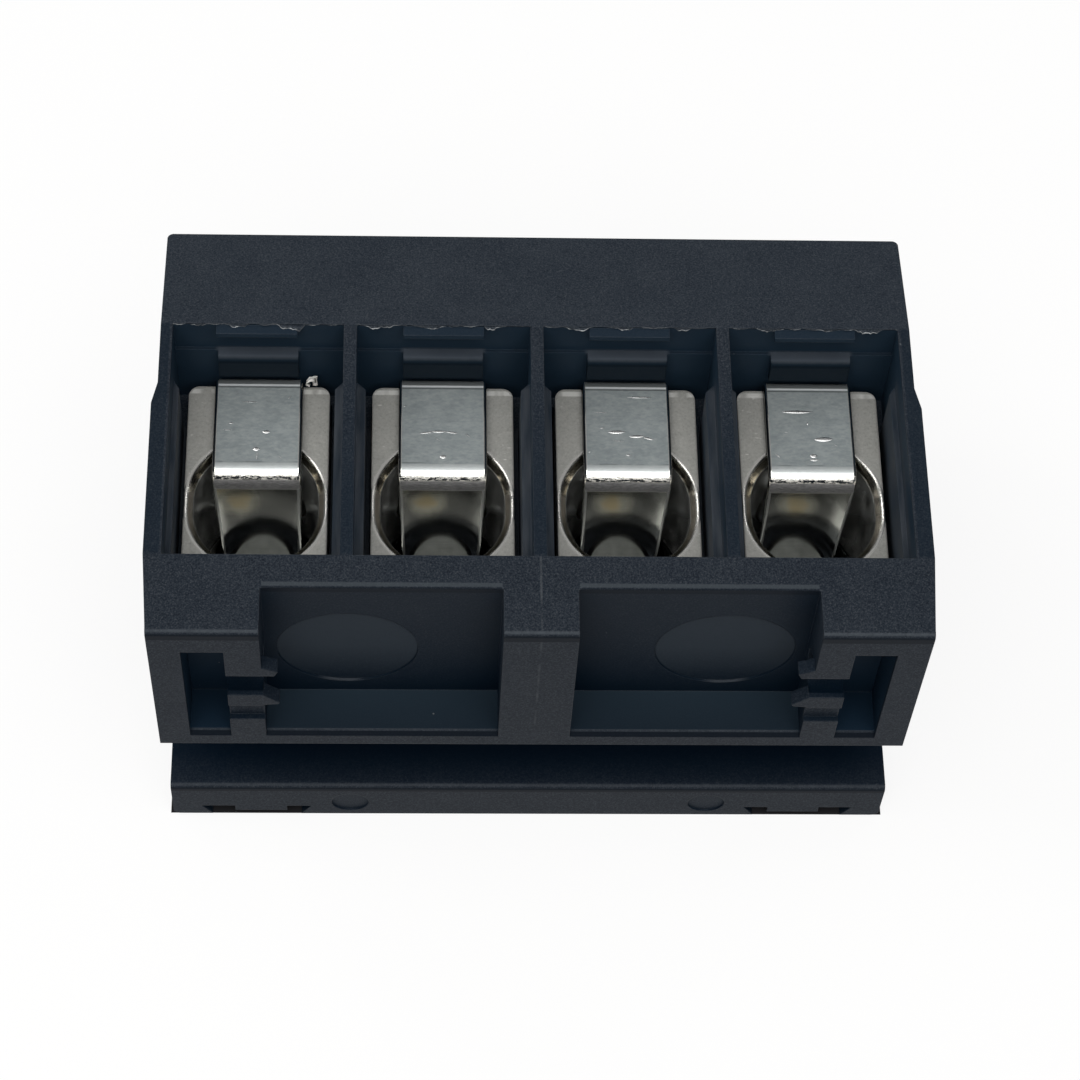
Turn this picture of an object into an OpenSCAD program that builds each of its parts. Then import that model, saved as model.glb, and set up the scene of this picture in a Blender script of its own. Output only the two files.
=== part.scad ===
// Four-pole removable terminal block, millimetres.
// X runs along the poles, +Y from the pocketed front to the screw side, +Z is the way the wires enter.
// The block stands on its mating side, with the origin in the middle of that side.

/* [Poles] */
// Distance between neighbouring poles
pitch = 10.16; // [9.5:0.01:12]
// Thin wall between two wire cells
partition = 0.7; // [0.6:0.05:1.2]
// Wall at either end of the row of cells
outer_wall = 0.65; // [0.5:0.05:1.5]
// How much narrower the end cells are on their outer side
end_cell_trim = 0.18; // [0:0.02:0.3]

/* [Clamp block] */
// Width of the clamp block
block_width = 7.8; // [7.4:0.05:8.4]
// Height of the clamp block from the wire side to the screw side
block_height = 11.9; // [11.4:0.1:13]
// Length of the clamp block along the wire
block_length = 10; // [9.8:0.1:12]
// How far the clamp block lies below the wire face
block_recess = 4.9; // [4.5:0.1:6]
// Gap between the clamp block and its seat
block_gap = 0.08; // [0.05:0.01:0.2]
// Rounding of the two edges on the screw side
block_round = 0.6; // [0.4:0.1:1]
// Radius of the wire bore
bore_r = 3.4; // [3:0.05:3.5]
// How much taller than wide the wire bore is
bore_stretch = 0.75; // [0.3:0.05:1]
// Countersink round the wire bore
bore_sink = 0.4; // [0.2:0.05:0.5]
// Wall under the wire bore
bore_sill = 0.62; // [0.6:0.02:1]
// Depth of the wire bore
bore_depth = 8.6; // [8.5:0.1:8.8]

/* [Wire guard] */
// Width of the wire guard
guard_width = 4.65; // [4:0.05:5]
// Sheet thickness of the wire guard
guard_sheet = 0.55; // [0.4:0.05:0.6]
// Gap between the wire guard and the clamp block
guard_gap = 0.05; // [0.02:0.01:0.1]
// Inner radius of the bend in front of the wire bore
guard_bend_in = 0.4; // [0.3:0.05:0.6]
// Inner radius of the bend at the hook
guard_hook_in = 0.12; // [0.1:0.02:0.3]
// How far the hook stands above the clamp block
guard_stand = 0.42; // [0.3:0.02:0.5]
// Free room above the hook
guard_room = 0.12; // [0.1:0.02:0.2]
// Length of the hook on the screw side
guard_hook = 1.5; // [1.2:0.1:2]
// Length of the leg inside the wire bore
guard_leg = 8.9; // [8:0.1:9]
// Height of the leg's underside above the middle of the wire bore
guard_rise = 1.25; // [1:0.05:1.5]

/* [Clamp screw] */
// Thread diameter
screw_d = 5; // [4:0.1:5.2]
// Thread pitch
screw_pitch = 0.8; // [0.7:0.05:0.9]
// Depth of the thread
screw_thread = 0.4; // [0.3:0.05:0.5]
// Length of the cone at the screw's tip
screw_point = 1; // [0.8:0.1:1.2]
// Screw length
screw_length = 7; // [6:0.1:8]
// Gap between the screw and its thread in the block, on the radius
screw_gap = 0.05; // [0.03:0.01:0.08]
// Gap between the screw's tip and the open wire guard
screw_tip_gap = 0.12; // [0.1:0.02:0.3]
// Slot width
slot_w = 0.9; // [0.7:0.05:1.2]
// Slot depth
slot_d = 1.4; // [1:0.1:1.8]
// Gap round the screw in the driver hole, on the radius
driver_gap = 0.4; // [0.3:0.05:0.6]
// Gap round the backed-out screw behind the driver hole, on the radius
head_gap = 0.7; // [0.6:0.05:0.9]
// Length of the room for the backed-out screw
head_room = 2; // [1.8:0.1:2.5]

/* [Mating side] */
// Floor under the socket contacts
bottom_floor = 0.8; // [0.6:0.05:1.2]
// Length of a socket contact
socket_length = 6; // [5:0.1:7]
// Width of a socket contact
socket_width = 4.4; // [4:0.1:5]
// Height of a socket contact
socket_height = 4.8; // [4:0.1:5.5]
// Radius of the rivet that holds a socket contact on its clamp block
rivet_r = 1.5; // [1.2:0.05:1.7]
// Radius of the rivet's head
rivet_head_r = 2; // [1.9:0.05:2.2]
// Height of the rivet's head
rivet_head = 0.55; // [0.4:0.05:0.7]
// Radius of the sunk seat round the rivet's head
rivet_seat_r = 2.65; // [2.4:0.05:2.8]
// Depth of that seat below the end of the wire bore
rivet_sink = 0.8; // [0.6:0.05:0.9]
// Gap round the rivet in the clamp block
rivet_gap = 0.05; // [0.02:0.01:0.1]
// Width of the pin hole
pin_w = 3; // [2.5:0.1:3.2]
// Height of the pin hole
pin_h = 3.2; // [2.5:0.1:3.6]
// Sheet thickness of the contact spring
spring_sheet = 0.3; // [0.2:0.05:0.4]
// Length of the contact spring
spring_length = 3.2; // [2.5:0.1:4]
// Gap between the contact spring and its neighbours
spring_gap = 0.05; // [0.02:0.01:0.1]
// Bevel that leads a pin into the floor
pin_lead = 0.5; // [0.3:0.05:0.6]

/* [Housing] */
// Depth of the lip below the cells
lip_depth = 4.7; // [4.4:0.1:6]
// Floor between the lip's inner face and the clamp block
block_floor = 1.6; // [1.2:0.1:2]
// Depth of the ledge in front of the clamp blocks
ledge_drop = 4.2; // [3.9:0.1:4.4]
// Depth of the wide part of a seat below the clamp block's face
seat_drop = 2; // [1.5:0.1:3]
// Free room between a guide rib and the clamp block
rib_room = 0.35; // [0.2:0.05:0.4]
// Length of the guide ribs beside the clamp blocks
rib_length = 12.2; // [11:0.1:13]
// Slant at the guide ribs' far end
rib_slant = 0.5; // [0.3:0.05:0.8]
// Depth of the snap ridge below the wire face
mouth_drop = 2.3; // [2:0.1:2.6]
// How far the cell's upper wall stands back above the snap ridge
mouth_step = 0.85; // [0.7:0.05:1.2]
// Rounding of the snap ridge's edge
mouth_round = 0.4; // [0.2:0.05:0.5]
// Width of the snap ridge and of the tab above it
ridge_width = 4.4; // [3.8:0.1:4.5]
// Free room between the snap ridge and the wire guard
ridge_room = 0.3; // [0.2:0.05:0.5]
// Width of the small step beside the snap ridge
side_step = 0.2; // [0.1:0.05:0.3]
// How far the tab above the snap ridge stands out
tab_out = 0.6; // [0.3:0.05:0.7]
// Thickness of that tab
tab_thick = 0.35; // [0.2:0.05:0.5]
// How far that tab lies below the wire face
tab_drop = 0.12; // [0.05:0.01:0.2]
// Length of the band above the cells
band_length = 6.77; // [6:0.1:8]
// How far the band falls toward the screw side
band_fall = 1.2; // [0.5:0.1:2]
// Height of the pocketed front
front_height = 12.7; // [12:0.1:13.5]
// Height of the flange on the mating side
flange_height = 3.5; // [3:0.1:4]
// How much shorter the flange is at either end
flange_trim = 0.2; // [0:0.05:0.4]
// Depth of the groove above the flange
groove_depth = 4.4; // [4.2:0.1:4.6]
// Rounding of the upper edges of the front and of the flange
edge_round = 0.35; // [0.2:0.05:0.5]
// Rounding of the two upright corners on the screw side
back_round = 0.35; // [0.2:0.05:0.6]
// How far the side pads stand out
pad_out = 0.3; // [0.1:0.05:0.5]
// Where the side pads end above the lip
pad_reach = 10.6; // [9:0.1:12]
// Length of the side pads' upper slope
pad_slope = 1.3; // [0.5:0.1:2]

/* [Front] */
// Depth of the pockets and the side slots
pocket_depth = 2.7; // [2.6:0.1:3]
// Front left standing under the pockets
pocket_sill = 1.28; // [1:0.1:1.8]
// Bevel of the pockets' lower edge
pocket_bevel = 0.3; // [0.2:0.05:0.5]
// Width of the rib between the two pockets
centre_rib = 3.92; // [3:0.1:5]
// Width of the latch bearings' webs
web = 1.9; // [1.6:0.1:2.2]
// Width of the side slots
side_slot_w = 2.24; // [1.8:0.02:2.6]
// Wall outside the side slots
end_cheek = 1.7; // [1.4:0.05:2]
// Front left standing above the side slots
slot_head = 2.1; // [1.8:0.1:2.4]
// Radius of the ejector marks in the pockets
mark_r = 3.8; // [3.4:0.1:4]
// Depth of the ejector marks
mark_depth = 0.12; // [0.05:0.01:0.2]
// Radius of the ejector marks on the flange
flange_mark_r = 1.05; // [0.8:0.05:1.2]
// Radius of the latch bearings
bearing_r = 1.3; // [1.2:0.02:1.4]
// Depth of the bearings' axis behind the front
bearing_in = 1; // [0.9:0.05:1.1]
// Depth of the bearings' axis below the upper edge
bearing_drop = 5.85; // [5.6:0.05:6.2]
// Height of the bearings' snap-in mouth
bearing_mouth = 2.2; // [1.8:0.05:2.3]
// How thick the lip and the barb beside a bearing are
barb_in = 0.8; // [0.6:0.05:1]
// How far the lip and the barb reach into a pocket
barb = 0.85; // [0.5:0.05:1]
// Height of the notch that crosses a web below its barb
web_notch = 1.6; // [1:0.1:1.8]
// Depth of that notch
web_notch_in = 0.35; // [0.2:0.05:0.5]
// Height of the notches in the flange's lower edge
flange_notch = 1; // [0.7:0.05:1.2]
// Depth of those notches behind the flange's front
flange_notch_deep = 1.1; // [0.8:0.1:1.5]
// How far a notch's outer side leans out
notch_slant = 0.6; // [0.4:0.05:0.8]
// How far the tongue between two notches stands off the table
tongue_rise = 0.42; // [0.3:0.02:0.5]
// Rounding of the flange's lower corners
flange_corner = 0.45; // [0.2:0.05:0.6]
// Width of the tongue between two notches
flange_tongue = 2.95; // [2.6:0.05:3.2]
// Width of the inner notches
flange_notch_in = 1.4; // [1:0.1:1.8]
// Width of the outer notches
flange_notch_out = 1.9; // [1.4:0.1:2.2]

/* [Hidden] */
$fn = 48;
eps = 0.5;
half_width = 2 * pitch - partition / 2 - end_cell_trim + outer_wall;
height = bottom_floor + socket_length + block_length + block_recess;
block_y = lip_depth + block_floor;
block_top = block_y + block_height;
ceiling_y = block_top + block_gap;
band_y = ceiling_y + mouth_step;
depth = band_y + band_length;
block_face = height - block_recess;
block_back = block_face - block_length;
bore_end = block_face - bore_depth;
rivet_z = bore_end - rivet_sink;
bore_y = block_y + bore_sill + bore_r + bore_stretch / 2;
guard_face = block_face + guard_gap + guard_sheet;
guard_top = block_top + guard_stand;
leg_y = bore_y + guard_rise;
screw_z = block_face - block_length / 2 - 0.3;
tip_y = leg_y + guard_sheet + screw_tip_gap;
thread_r = screw_d / 2;
socket_y = block_y + block_height / 2;
front_foot = height - front_height;
slot_outer = half_width - end_cheek;
slot_inner = slot_outer - side_slot_w;
pocket_outer = slot_inner - web;
pocket_foot = front_foot + pocket_sill;
bearing_z = height - bearing_drop;
chamber_w = socket_width + 2 * spring_sheet + 4 * spring_gap;
chamber_h = socket_height + 2 * spring_sheet + 4 * spring_gap;
plastic = [0.16, 0.18, 0.21];
nickel = [0.62, 0.61, 0.58];
bright = [0.8, 0.8, 0.78];
steel = [0.55, 0.56, 0.58];
copper = [0.72, 0.62, 0.42];

// Middle of pole i, counted from 1 at the left
function pole_x(i) = (i - 2.5) * pitch;

// Puts the front-based drawing over the origin
module placed() {
  translate([0, -depth / 2, 0])
    children();
}

// Box between two corners
module span(a, b) {
  translate(a)
    cube([b[0] - a[0], b[1] - a[1], b[2] - a[2]]);
}

// Outline in Y and Z, drawn out along X from x0 to x1
module along_x(x0, x1, points) {
  translate([x0, 0, 0])
    rotate([90, 0, 90])
      linear_extrude(x1 - x0)
        polygon(points);
}

// Outline in X and Z, drawn out along Y from y0 to y1
module along_y(y0, y1, points) {
  translate([0, y1, 0])
    rotate([90, 0, 0])
      linear_extrude(y1 - y0)
        polygon(points);
}

// Round rod or hole along Y
module rod_y(x, z, y0, y1, r) {
  translate([x, y0, z])
    rotate([-90, 0, 0])
      cylinder(h = y1 - y0, r = r);
}

// Round rod or hole along X
module rod_x(y, z, x0, x1, r) {
  translate([x0, y, z])
    rotate([0, 90, 0])
      cylinder(h = x1 - x0, r = r);
}

// The same on the left and on the right
module both_ends() {
  children();
  mirror([1, 0, 0])
    children();
}

// Side view of the moulding: flange, groove, front, wire face and sloping band
module shell() {
  along_x(-half_width, half_width, [
    [0, 0],
    [0, flange_height],
    [groove_depth, flange_height],
    [groove_depth, front_foot],
    [0, front_foot],
    [0, height],
    [band_y, height],
    [depth, height - band_fall],
    [depth, 0]
  ]);
}

// What a rounded edge along X takes off a front corner whose upper face is at z
module front_edge_cut(z) {
  r = edge_round;
  w = half_width + pad_out + eps;
  difference() {
    span([-w, -eps, z - r], [w, r, z + eps]);
    rod_x(r, z - r, -w - eps, w + eps, r);
  }
}

// What a rounded upright corner takes off the right-hand end of the screw side
module back_corner_cut() {
  r = back_round;
  difference() {
    span([half_width - r, depth - r, -eps], [half_width + eps, depth + eps, height + eps]);
    translate([half_width - r, depth - r, -2 * eps])
      cylinder(h = height + 4 * eps, r = r);
  }
}

// Flat swelling on the end wall beside the cells
module side_pad() {
  translate([0, 0, front_foot])
    linear_extrude(height - front_foot)
      polygon([
        [half_width - outer_wall / 2, edge_round],
        [half_width, edge_round],
        [half_width + pad_out, lip_depth],
        [half_width + pad_out, lip_depth + pad_reach - pad_slope],
        [half_width, lip_depth + pad_reach],
        [half_width - outer_wall / 2, lip_depth + pad_reach]
      ]);
}

// Guide rib beside pole i's clamp block, on the side s, standing on the cell's wall at x
module guide_rib(i, s, wall_x) {
  face = pole_x(i) + s * (block_width / 2 + rib_room);
  far = lip_depth + rib_length;
  translate([0, 0, block_face - seat_drop - eps])
    linear_extrude(height - mouth_drop - block_face + seat_drop + eps)
      polygon([
        [face, lip_depth - eps],
        [face, far - rib_slant],
        [wall_x, far],
        [wall_x + s * eps, far],
        [wall_x + s * eps, lip_depth - eps]
      ]);
}

// Wire cell of pole i down to the narrow part of the clamp block's seat
module cell(i) {
  half = (pitch - partition) / 2;
  left = pole_x(i) - half + (i == 1 ? end_cell_trim : 0);
  right = pole_x(i) + half - (i == 4 ? end_cell_trim : 0);
  difference() {
    union() {
      span([left, lip_depth, height - ledge_drop], [right, ceiling_y, height + eps]);
      span([left, block_y - block_gap, block_face - seat_drop], [right, ceiling_y, height]);
    }
    guide_rib(i, -1, left);
    guide_rib(i, 1, right);
  }
  step_z = height - mouth_drop;
  difference() {
    union() {
      span([left, ceiling_y - eps, step_z], [right, band_y, height + eps]);
      span([left, ceiling_y - eps, block_face - seat_drop], [right, band_y - side_step, step_z + eps]);
    }
    snap_ridge(i);
  }
  guard_w = guard_width / 2 + 3 * guard_gap;
  span([pole_x(i) - guard_w, ceiling_y - eps, guard_face - guard_hook - guard_room],
    [pole_x(i) + guard_w, guard_top + guard_room, guard_face + ridge_room]);
}

// Ridge with a rounded edge that keeps pole i's wire guard down, and the tab above it at the mouth
module snap_ridge(i) {
  a = pole_x(i) - ridge_width / 2;
  b = pole_x(i) + ridge_width / 2;
  top = height - mouth_drop;
  low = top - mouth_round;
  edge = ceiling_y + mouth_round;
  span([a, ceiling_y, guard_face + ridge_room], [b, band_y + eps, low]);
  span([a, edge, low - eps], [b, band_y + eps, top]);
  rod_x(edge, low, a, b, mouth_round);
  tab_top = height - tab_drop;
  span([a, band_y - tab_out, tab_top - tab_thick], [b, band_y + eps, tab_top]);
}

// Seat of pole i's clamp block, its driver hole, and the chamber and opening of its socket contact
module pole_seat(i) {
  x = pole_x(i);
  w = block_width / 2 + block_gap;
  span([x - w, block_y - block_gap, block_back], [x + w, ceiling_y, block_face - seat_drop + eps]);
  rod_y(x, screw_z, ceiling_y - eps, ceiling_y + head_room, thread_r + head_gap);
  rod_y(x, screw_z, ceiling_y, depth + eps, thread_r + driver_gap);
  span([x - chamber_w / 2, socket_y - chamber_h / 2, bottom_floor],
    [x + chamber_w / 2, socket_y + chamber_h / 2, block_back + eps]);
  span([x - pin_w / 2, socket_y - pin_h / 2, -eps], [x + pin_w / 2, socket_y + pin_h / 2, bottom_floor + eps]);
  pin_funnel(x);
}

// Bevel round the pin opening at x
module pin_funnel(x) {
  w = pin_w / 2;
  h = pin_h / 2;
  intersection() {
    along_y(socket_y - pin_h, socket_y + pin_h, [
      [x - w - pin_lead - eps, -eps],
      [x + w + pin_lead + eps, -eps],
      [x + w, pin_lead],
      [x - w, pin_lead]
    ]);
    along_x(x - pin_w, x + pin_w, [
      [socket_y - h - pin_lead - eps, -eps],
      [socket_y + h + pin_lead + eps, -eps],
      [socket_y + h, pin_lead],
      [socket_y - h, pin_lead]
    ]);
  }
}

// Right-hand latch pocket, side slot and the bearing's web between them
module front_cuts() {
  pocket_back = pocket_depth;
  span([centre_rib / 2, -eps, pocket_foot], [pocket_outer, pocket_back, height + eps]);
  along_x(centre_rib / 2, pocket_outer, [
    [-eps, pocket_foot - pocket_bevel - eps],
    [pocket_bevel + eps, pocket_foot + eps],
    [-eps, pocket_foot + eps]
  ]);
  rod_y(pitch, (height + pocket_foot) / 2 - 0.85, pocket_back - eps, pocket_back + mark_depth, mark_r);
  span([slot_inner, -eps, pocket_foot], [slot_outer, pocket_back, height - slot_head]);
  along_x(slot_inner, slot_outer, [
    [-eps, pocket_foot - pocket_bevel - eps],
    [pocket_bevel + eps, pocket_foot + eps],
    [-eps, pocket_foot + eps]
  ]);
  rod_x(bearing_in, bearing_z, pocket_outer - eps, slot_inner + eps, bearing_r);
  span([pocket_outer - eps, -eps, bearing_z - bearing_mouth / 2],
    [slot_inner + eps, bearing_in, bearing_z + bearing_mouth / 2]);
  notch_top = bearing_z - bearing_mouth / 2 - 1.2;
  span([pocket_outer - eps, -eps, notch_top - web_notch], [slot_inner + eps, web_notch_in, notch_top]);
}

// Lip and barb that keep a latch's pivot in the right-hand bearing
module barbs() {
  root = pocket_outer + 0.2;
  tip = pocket_outer - barb;
  lip_foot = bearing_z + bearing_mouth / 2;
  barb_top = bearing_z - bearing_mouth / 2;
  along_y(0, barb_in, [
    [pocket_outer, lip_foot],
    [pocket_outer, lip_foot + 0.3],
    [root, lip_foot + 0.3],
    [root, lip_foot + 0.9],
    [pocket_outer, lip_foot + 0.9],
    [tip, lip_foot + 0.45],
    [tip + 0.2, lip_foot]
  ]);
  along_y(0, barb_in, [
    [pocket_outer, barb_top],
    [tip, barb_top - 0.85],
    [tip + 0.1, barb_top - 1],
    [pocket_outer, barb_top - 1.1],
    [root, barb_top - 1.1],
    [root, barb_top - 0.3],
    [pocket_outer, barb_top - 0.3]
  ]);
}

// Lower edge of the flange under the right-hand end pole: a raised tongue between two undercut notches
module flange_cuts() {
  mid = 1.5 * pitch;
  inner = mid - flange_tongue / 2;
  outer = mid + flange_tongue / 2;
  along_y(-eps, flange_notch_deep, [
    [inner - flange_notch_in + notch_slant, -eps],
    [outer + flange_notch_out - notch_slant, -eps],
    [outer + flange_notch_out - notch_slant, 0],
    [outer + flange_notch_out, flange_notch],
    [outer, flange_notch],
    [outer, tongue_rise],
    [inner, tongue_rise],
    [inner, flange_notch],
    [inner - flange_notch_in, flange_notch],
    [inner - flange_notch_in + notch_slant, 0]
  ]);
  rod_y(pitch, flange_height * 0.43, -eps, mark_depth, flange_mark_r);
  end = half_width - flange_trim;
  r = flange_corner;
  span([end, -eps, -eps], [half_width + eps, groove_depth, flange_height + eps]);
  difference() {
    span([end - r, -eps, -eps], [end + eps, groove_depth, r]);
    rod_y(end - r, r, -2 * eps, groove_depth + eps, r);
  }
}

module housing() {
  color(plastic)
    placed() {
      difference() {
        union() {
          shell();
          both_ends()
            side_pad();
        }
        for (i = [1:4]) {
          cell(i);
          pole_seat(i);
        }
        both_ends() {
          front_cuts();
          flange_cuts();
          back_corner_cut();
        }
        front_edge_cut(height);
        front_edge_cut(flange_height);
      }
      both_ends()
        barbs();
    }
}

// Outline of the wire bore, stretched toward the screw, from z0 to z1
module bore_shape(z0, z1) {
  s = bore_stretch / 2;
  for (y = [bore_y - s, bore_y + s])
    translate([0, y, z0])
      cylinder(h = z1 - z0, r = bore_r);
  span([-bore_r, bore_y - s, z0], [bore_r, bore_y + s, z1]);
}

// Wire bore with its countersink
module wire_bore() {
  s = bore_stretch / 2;
  face = block_face;
  bore_shape(bore_end, face + eps);
  for (y = [bore_y - s, bore_y + s])
    translate([0, y, face - bore_sink])
      cylinder(h = bore_sink, r1 = bore_r, r2 = bore_r + bore_sink);
  along_y(bore_y - s, bore_y + s, [
    [-bore_r, face - bore_sink],
    [bore_r, face - bore_sink],
    [bore_r + bore_sink, face],
    [-bore_r - bore_sink, face]
  ]);
}

// Hole and sunk seat of the socket contact's rivet at the end of the wire bore
module rivet_seat() {
  translate([0, socket_y, block_back - eps])
    cylinder(h = rivet_z - block_back + 2 * eps, r = rivet_r + rivet_gap);
  intersection() {
    translate([0, socket_y, rivet_z])
      cylinder(h = rivet_sink + eps, r = rivet_seat_r);
    bore_shape(rivet_z - eps, bore_end + eps);
  }
}

module clamp_block(i) {
  half = block_width / 2;
  shoulder = block_top - block_round;
  hook_half = guard_width / 2 + 2 * guard_gap;
  color(nickel)
    placed()
      translate([pole_x(i), 0, 0])
        difference() {
          union() {
            span([-half, block_y, block_back], [half, shoulder, block_face]);
            span([-half + block_round, shoulder - eps, block_back], [half - block_round, block_top, block_face]);
            for (s = [-1, 1])
              translate([s * (half - block_round), shoulder, block_back])
                cylinder(h = block_length, r = block_round);
          }
          wire_bore();
          rivet_seat();
          rod_y(0, screw_z, bore_y, block_top + eps, thread_r + screw_gap);
          span([-hook_half, guard_top - guard_sheet - guard_gap, guard_face - guard_hook - guard_gap],
            [hook_half, block_top + eps, block_face + eps]);
        }
}

// Quarter bend of the guard's sheet round an axis at y and z; s is -1 toward the wires, 1 toward the screw
module guard_corner(y, z, inner, s) {
  outer = inner + guard_sheet;
  low = s < 0 ? y - outer - eps : y;
  intersection() {
    difference() {
      rod_x(y, z, -guard_width / 2, guard_width / 2, outer);
      rod_x(y, z, -guard_width / 2 - eps, guard_width / 2 + eps, inner);
    }
    span([-guard_width, low, z], [guard_width, low + outer + eps, z + outer + eps]);
  }
}

module wire_guard(i) {
  half = guard_width / 2;
  low_bend = guard_bend_in + guard_sheet;
  high_bend = guard_hook_in + guard_sheet;
  color(bright)
    placed()
      translate([pole_x(i), 0, 0]) {
        span([-half, leg_y + low_bend, guard_face - guard_sheet], [half, guard_top - high_bend, guard_face]);
        guard_corner(leg_y + low_bend, guard_face - low_bend, guard_bend_in, -1);
        guard_corner(guard_top - high_bend, guard_face - high_bend, guard_hook_in, 1);
        span([-half, leg_y, guard_face - guard_leg], [half, leg_y + guard_sheet, guard_face - low_bend]);
        span([-half, guard_top - guard_sheet, guard_face - guard_hook], [half, guard_top, guard_face - high_bend]);
      }
}

// Half outline of the screw: chamfered tip, thread crests and roots, flat head
module screw_outline() {
  turns = floor((screw_length - screw_point - screw_pitch) / screw_pitch);
  polygon(concat(
    [[0, 0], [thread_r - screw_point, 0], [thread_r, screw_point]],
    [for (t = [0:turns - 1], p = [[0.35, 0], [0.6, 1], [0.85, 0]])
      [thread_r - p[1] * screw_thread, screw_point + (t + p[0]) * screw_pitch]],
    [[thread_r, screw_length - 0.2], [thread_r - 0.2, screw_length], [0, screw_length]]
  ));
}

module clamp_screw(i) {
  color(steel)
    placed()
      translate([pole_x(i), tip_y, screw_z])
        rotate([-90, 0, 0])
          difference() {
            rotate_extrude()
              screw_outline();
            translate([-slot_w / 2, -screw_d, screw_length - slot_d])
              cube([slot_w, 2 * screw_d, slot_d + eps]);
          }
}

// Half outline of the rivet on a socket contact, whose staked head sits at z
module rivet_outline(z) {
  polygon([
    [0, socket_length - eps],
    [rivet_r, socket_length - eps],
    [rivet_r, z],
    [rivet_head_r, z],
    [rivet_head_r, z + rivet_head * 0.45],
    [rivet_head_r - rivet_head * 0.6, z + rivet_head],
    [0, z + rivet_head]
  ]);
}

module socket_contact(i) {
  w = socket_width / 2;
  h = socket_height / 2;
  color(copper)
    placed()
      translate([pole_x(i), socket_y, bottom_floor]) {
        difference() {
          span([-w, -h, 0], [w, h, socket_length]);
          span([-pin_w / 2, -pin_h / 2, -eps], [pin_w / 2, pin_h / 2, socket_length - 1]);
        }
        rotate_extrude()
          rivet_outline(rivet_z - bottom_floor);
      }
}

module contact_spring(i) {
  w = socket_width / 2 + spring_gap;
  h = socket_height / 2 + spring_gap;
  low = (socket_length - spring_length) / 2;
  color(steel)
    placed()
      translate([pole_x(i), socket_y, bottom_floor + low])
        difference() {
          span([-w - spring_sheet, -h - spring_sheet, 0], [w + spring_sheet, h + spring_sheet, spring_length]);
          span([-w, -h, -eps], [w, h, spring_length + eps]);
        }
}

housing();
clamp_block(1);  // clamp_block_1
clamp_block(2);  // clamp_block_2
clamp_block(3);  // clamp_block_3
clamp_block(4);  // clamp_block_4
wire_guard(1);  // wire_guard_1
wire_guard(2);  // wire_guard_2
wire_guard(3);  // wire_guard_3
wire_guard(4);  // wire_guard_4
clamp_screw(1);  // clamp_screw_1
clamp_screw(2);  // clamp_screw_2
clamp_screw(3);  // clamp_screw_3
clamp_screw(4);  // clamp_screw_4
socket_contact(1);  // socket_contact_1
socket_contact(2);  // socket_contact_2
socket_contact(3);  // socket_contact_3
socket_contact(4);  // socket_contact_4
contact_spring(1);  // contact_spring_1
contact_spring(2);  // contact_spring_2
contact_spring(3);  // contact_spring_3
contact_spring(4);  // contact_spring_4
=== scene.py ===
import math
import random
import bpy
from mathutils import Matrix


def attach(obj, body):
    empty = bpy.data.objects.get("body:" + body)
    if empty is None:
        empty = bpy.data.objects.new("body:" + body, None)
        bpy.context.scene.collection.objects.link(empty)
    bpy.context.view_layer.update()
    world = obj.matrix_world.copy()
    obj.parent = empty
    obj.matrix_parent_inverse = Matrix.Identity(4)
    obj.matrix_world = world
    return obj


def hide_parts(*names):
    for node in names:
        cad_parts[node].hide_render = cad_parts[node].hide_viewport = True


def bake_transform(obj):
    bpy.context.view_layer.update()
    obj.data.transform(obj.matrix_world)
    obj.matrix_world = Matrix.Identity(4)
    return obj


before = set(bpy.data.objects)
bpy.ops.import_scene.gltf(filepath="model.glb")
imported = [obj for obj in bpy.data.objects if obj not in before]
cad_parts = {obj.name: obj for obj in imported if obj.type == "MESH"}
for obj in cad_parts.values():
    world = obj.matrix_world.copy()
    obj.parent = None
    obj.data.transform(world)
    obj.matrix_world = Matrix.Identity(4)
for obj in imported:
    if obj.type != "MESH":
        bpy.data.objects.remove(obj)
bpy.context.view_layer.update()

from types import SimpleNamespace

import bmesh
import bpy
from mathutils import Matrix, Vector

MM = 0.001
POLES = (1, 2, 3, 4)

# Housing as packed, in millimetres: its faces, cells, the ridge at their back, pockets and ejector marks
PITCH = 10.16
TOP_Z = 21.7
FRONT_Y = -12.95
FLANGE_Z = 3.5
GROOVE_Y = -8.55
LIP_Y = -8.25
BAND_Y = 6.18
CELL_HALF = 4.73
RIDGE_Y = 5.33
RIDGE_Z = 19.4
RIDGE_HALF = 2.2
SILL_Z = 10.28
MARK_X = 10.16
MARK_Y = -10.25
MARK_Z = 15.14
MARK_R = 3.8
FLANGE_MARK_Z = 1.505
FLANGE_MARK_R = 1.05

# Clamp block as packed, with its wire bore and the seat of the contact's rivet at the bore's end
BLOCK_FACE_Z = 16.8
BLOCK_BACK_Z = 6.8
BLOCK_TOP_Y = 5.25
BORE_Y = -2.255
BORE_R = 3.4
BORE_STRETCH = 0.75
BORE_END = 8.2
SEAT_Y = -0.7

# Wire guard as packed
GUARD_SHEET = 0.55
GUARD_FACE_Z = 17.4
GUARD_TOP_Y = 5.67
GUARD_HOOK_Z = 15.9
GUARD_LEG_Y = -1.005
GUARD_LEG_Z = 8.5
HOOK_BEND = 0.12
LEG_BEND = 0.4

# The guard drawn here is 0.1 mm wider at each side, has round edges, and its leg narrows below TAPER_Z
GUARD_W = 4.85
GUARD_CORNER = 0.18
TAPER_Z = 16.4
LEG_TAPER = 0.08


def pole_x(i):
    """Middle of pole i, counted from 1 at the left."""
    return (i - 2.5) * PITCH


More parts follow.
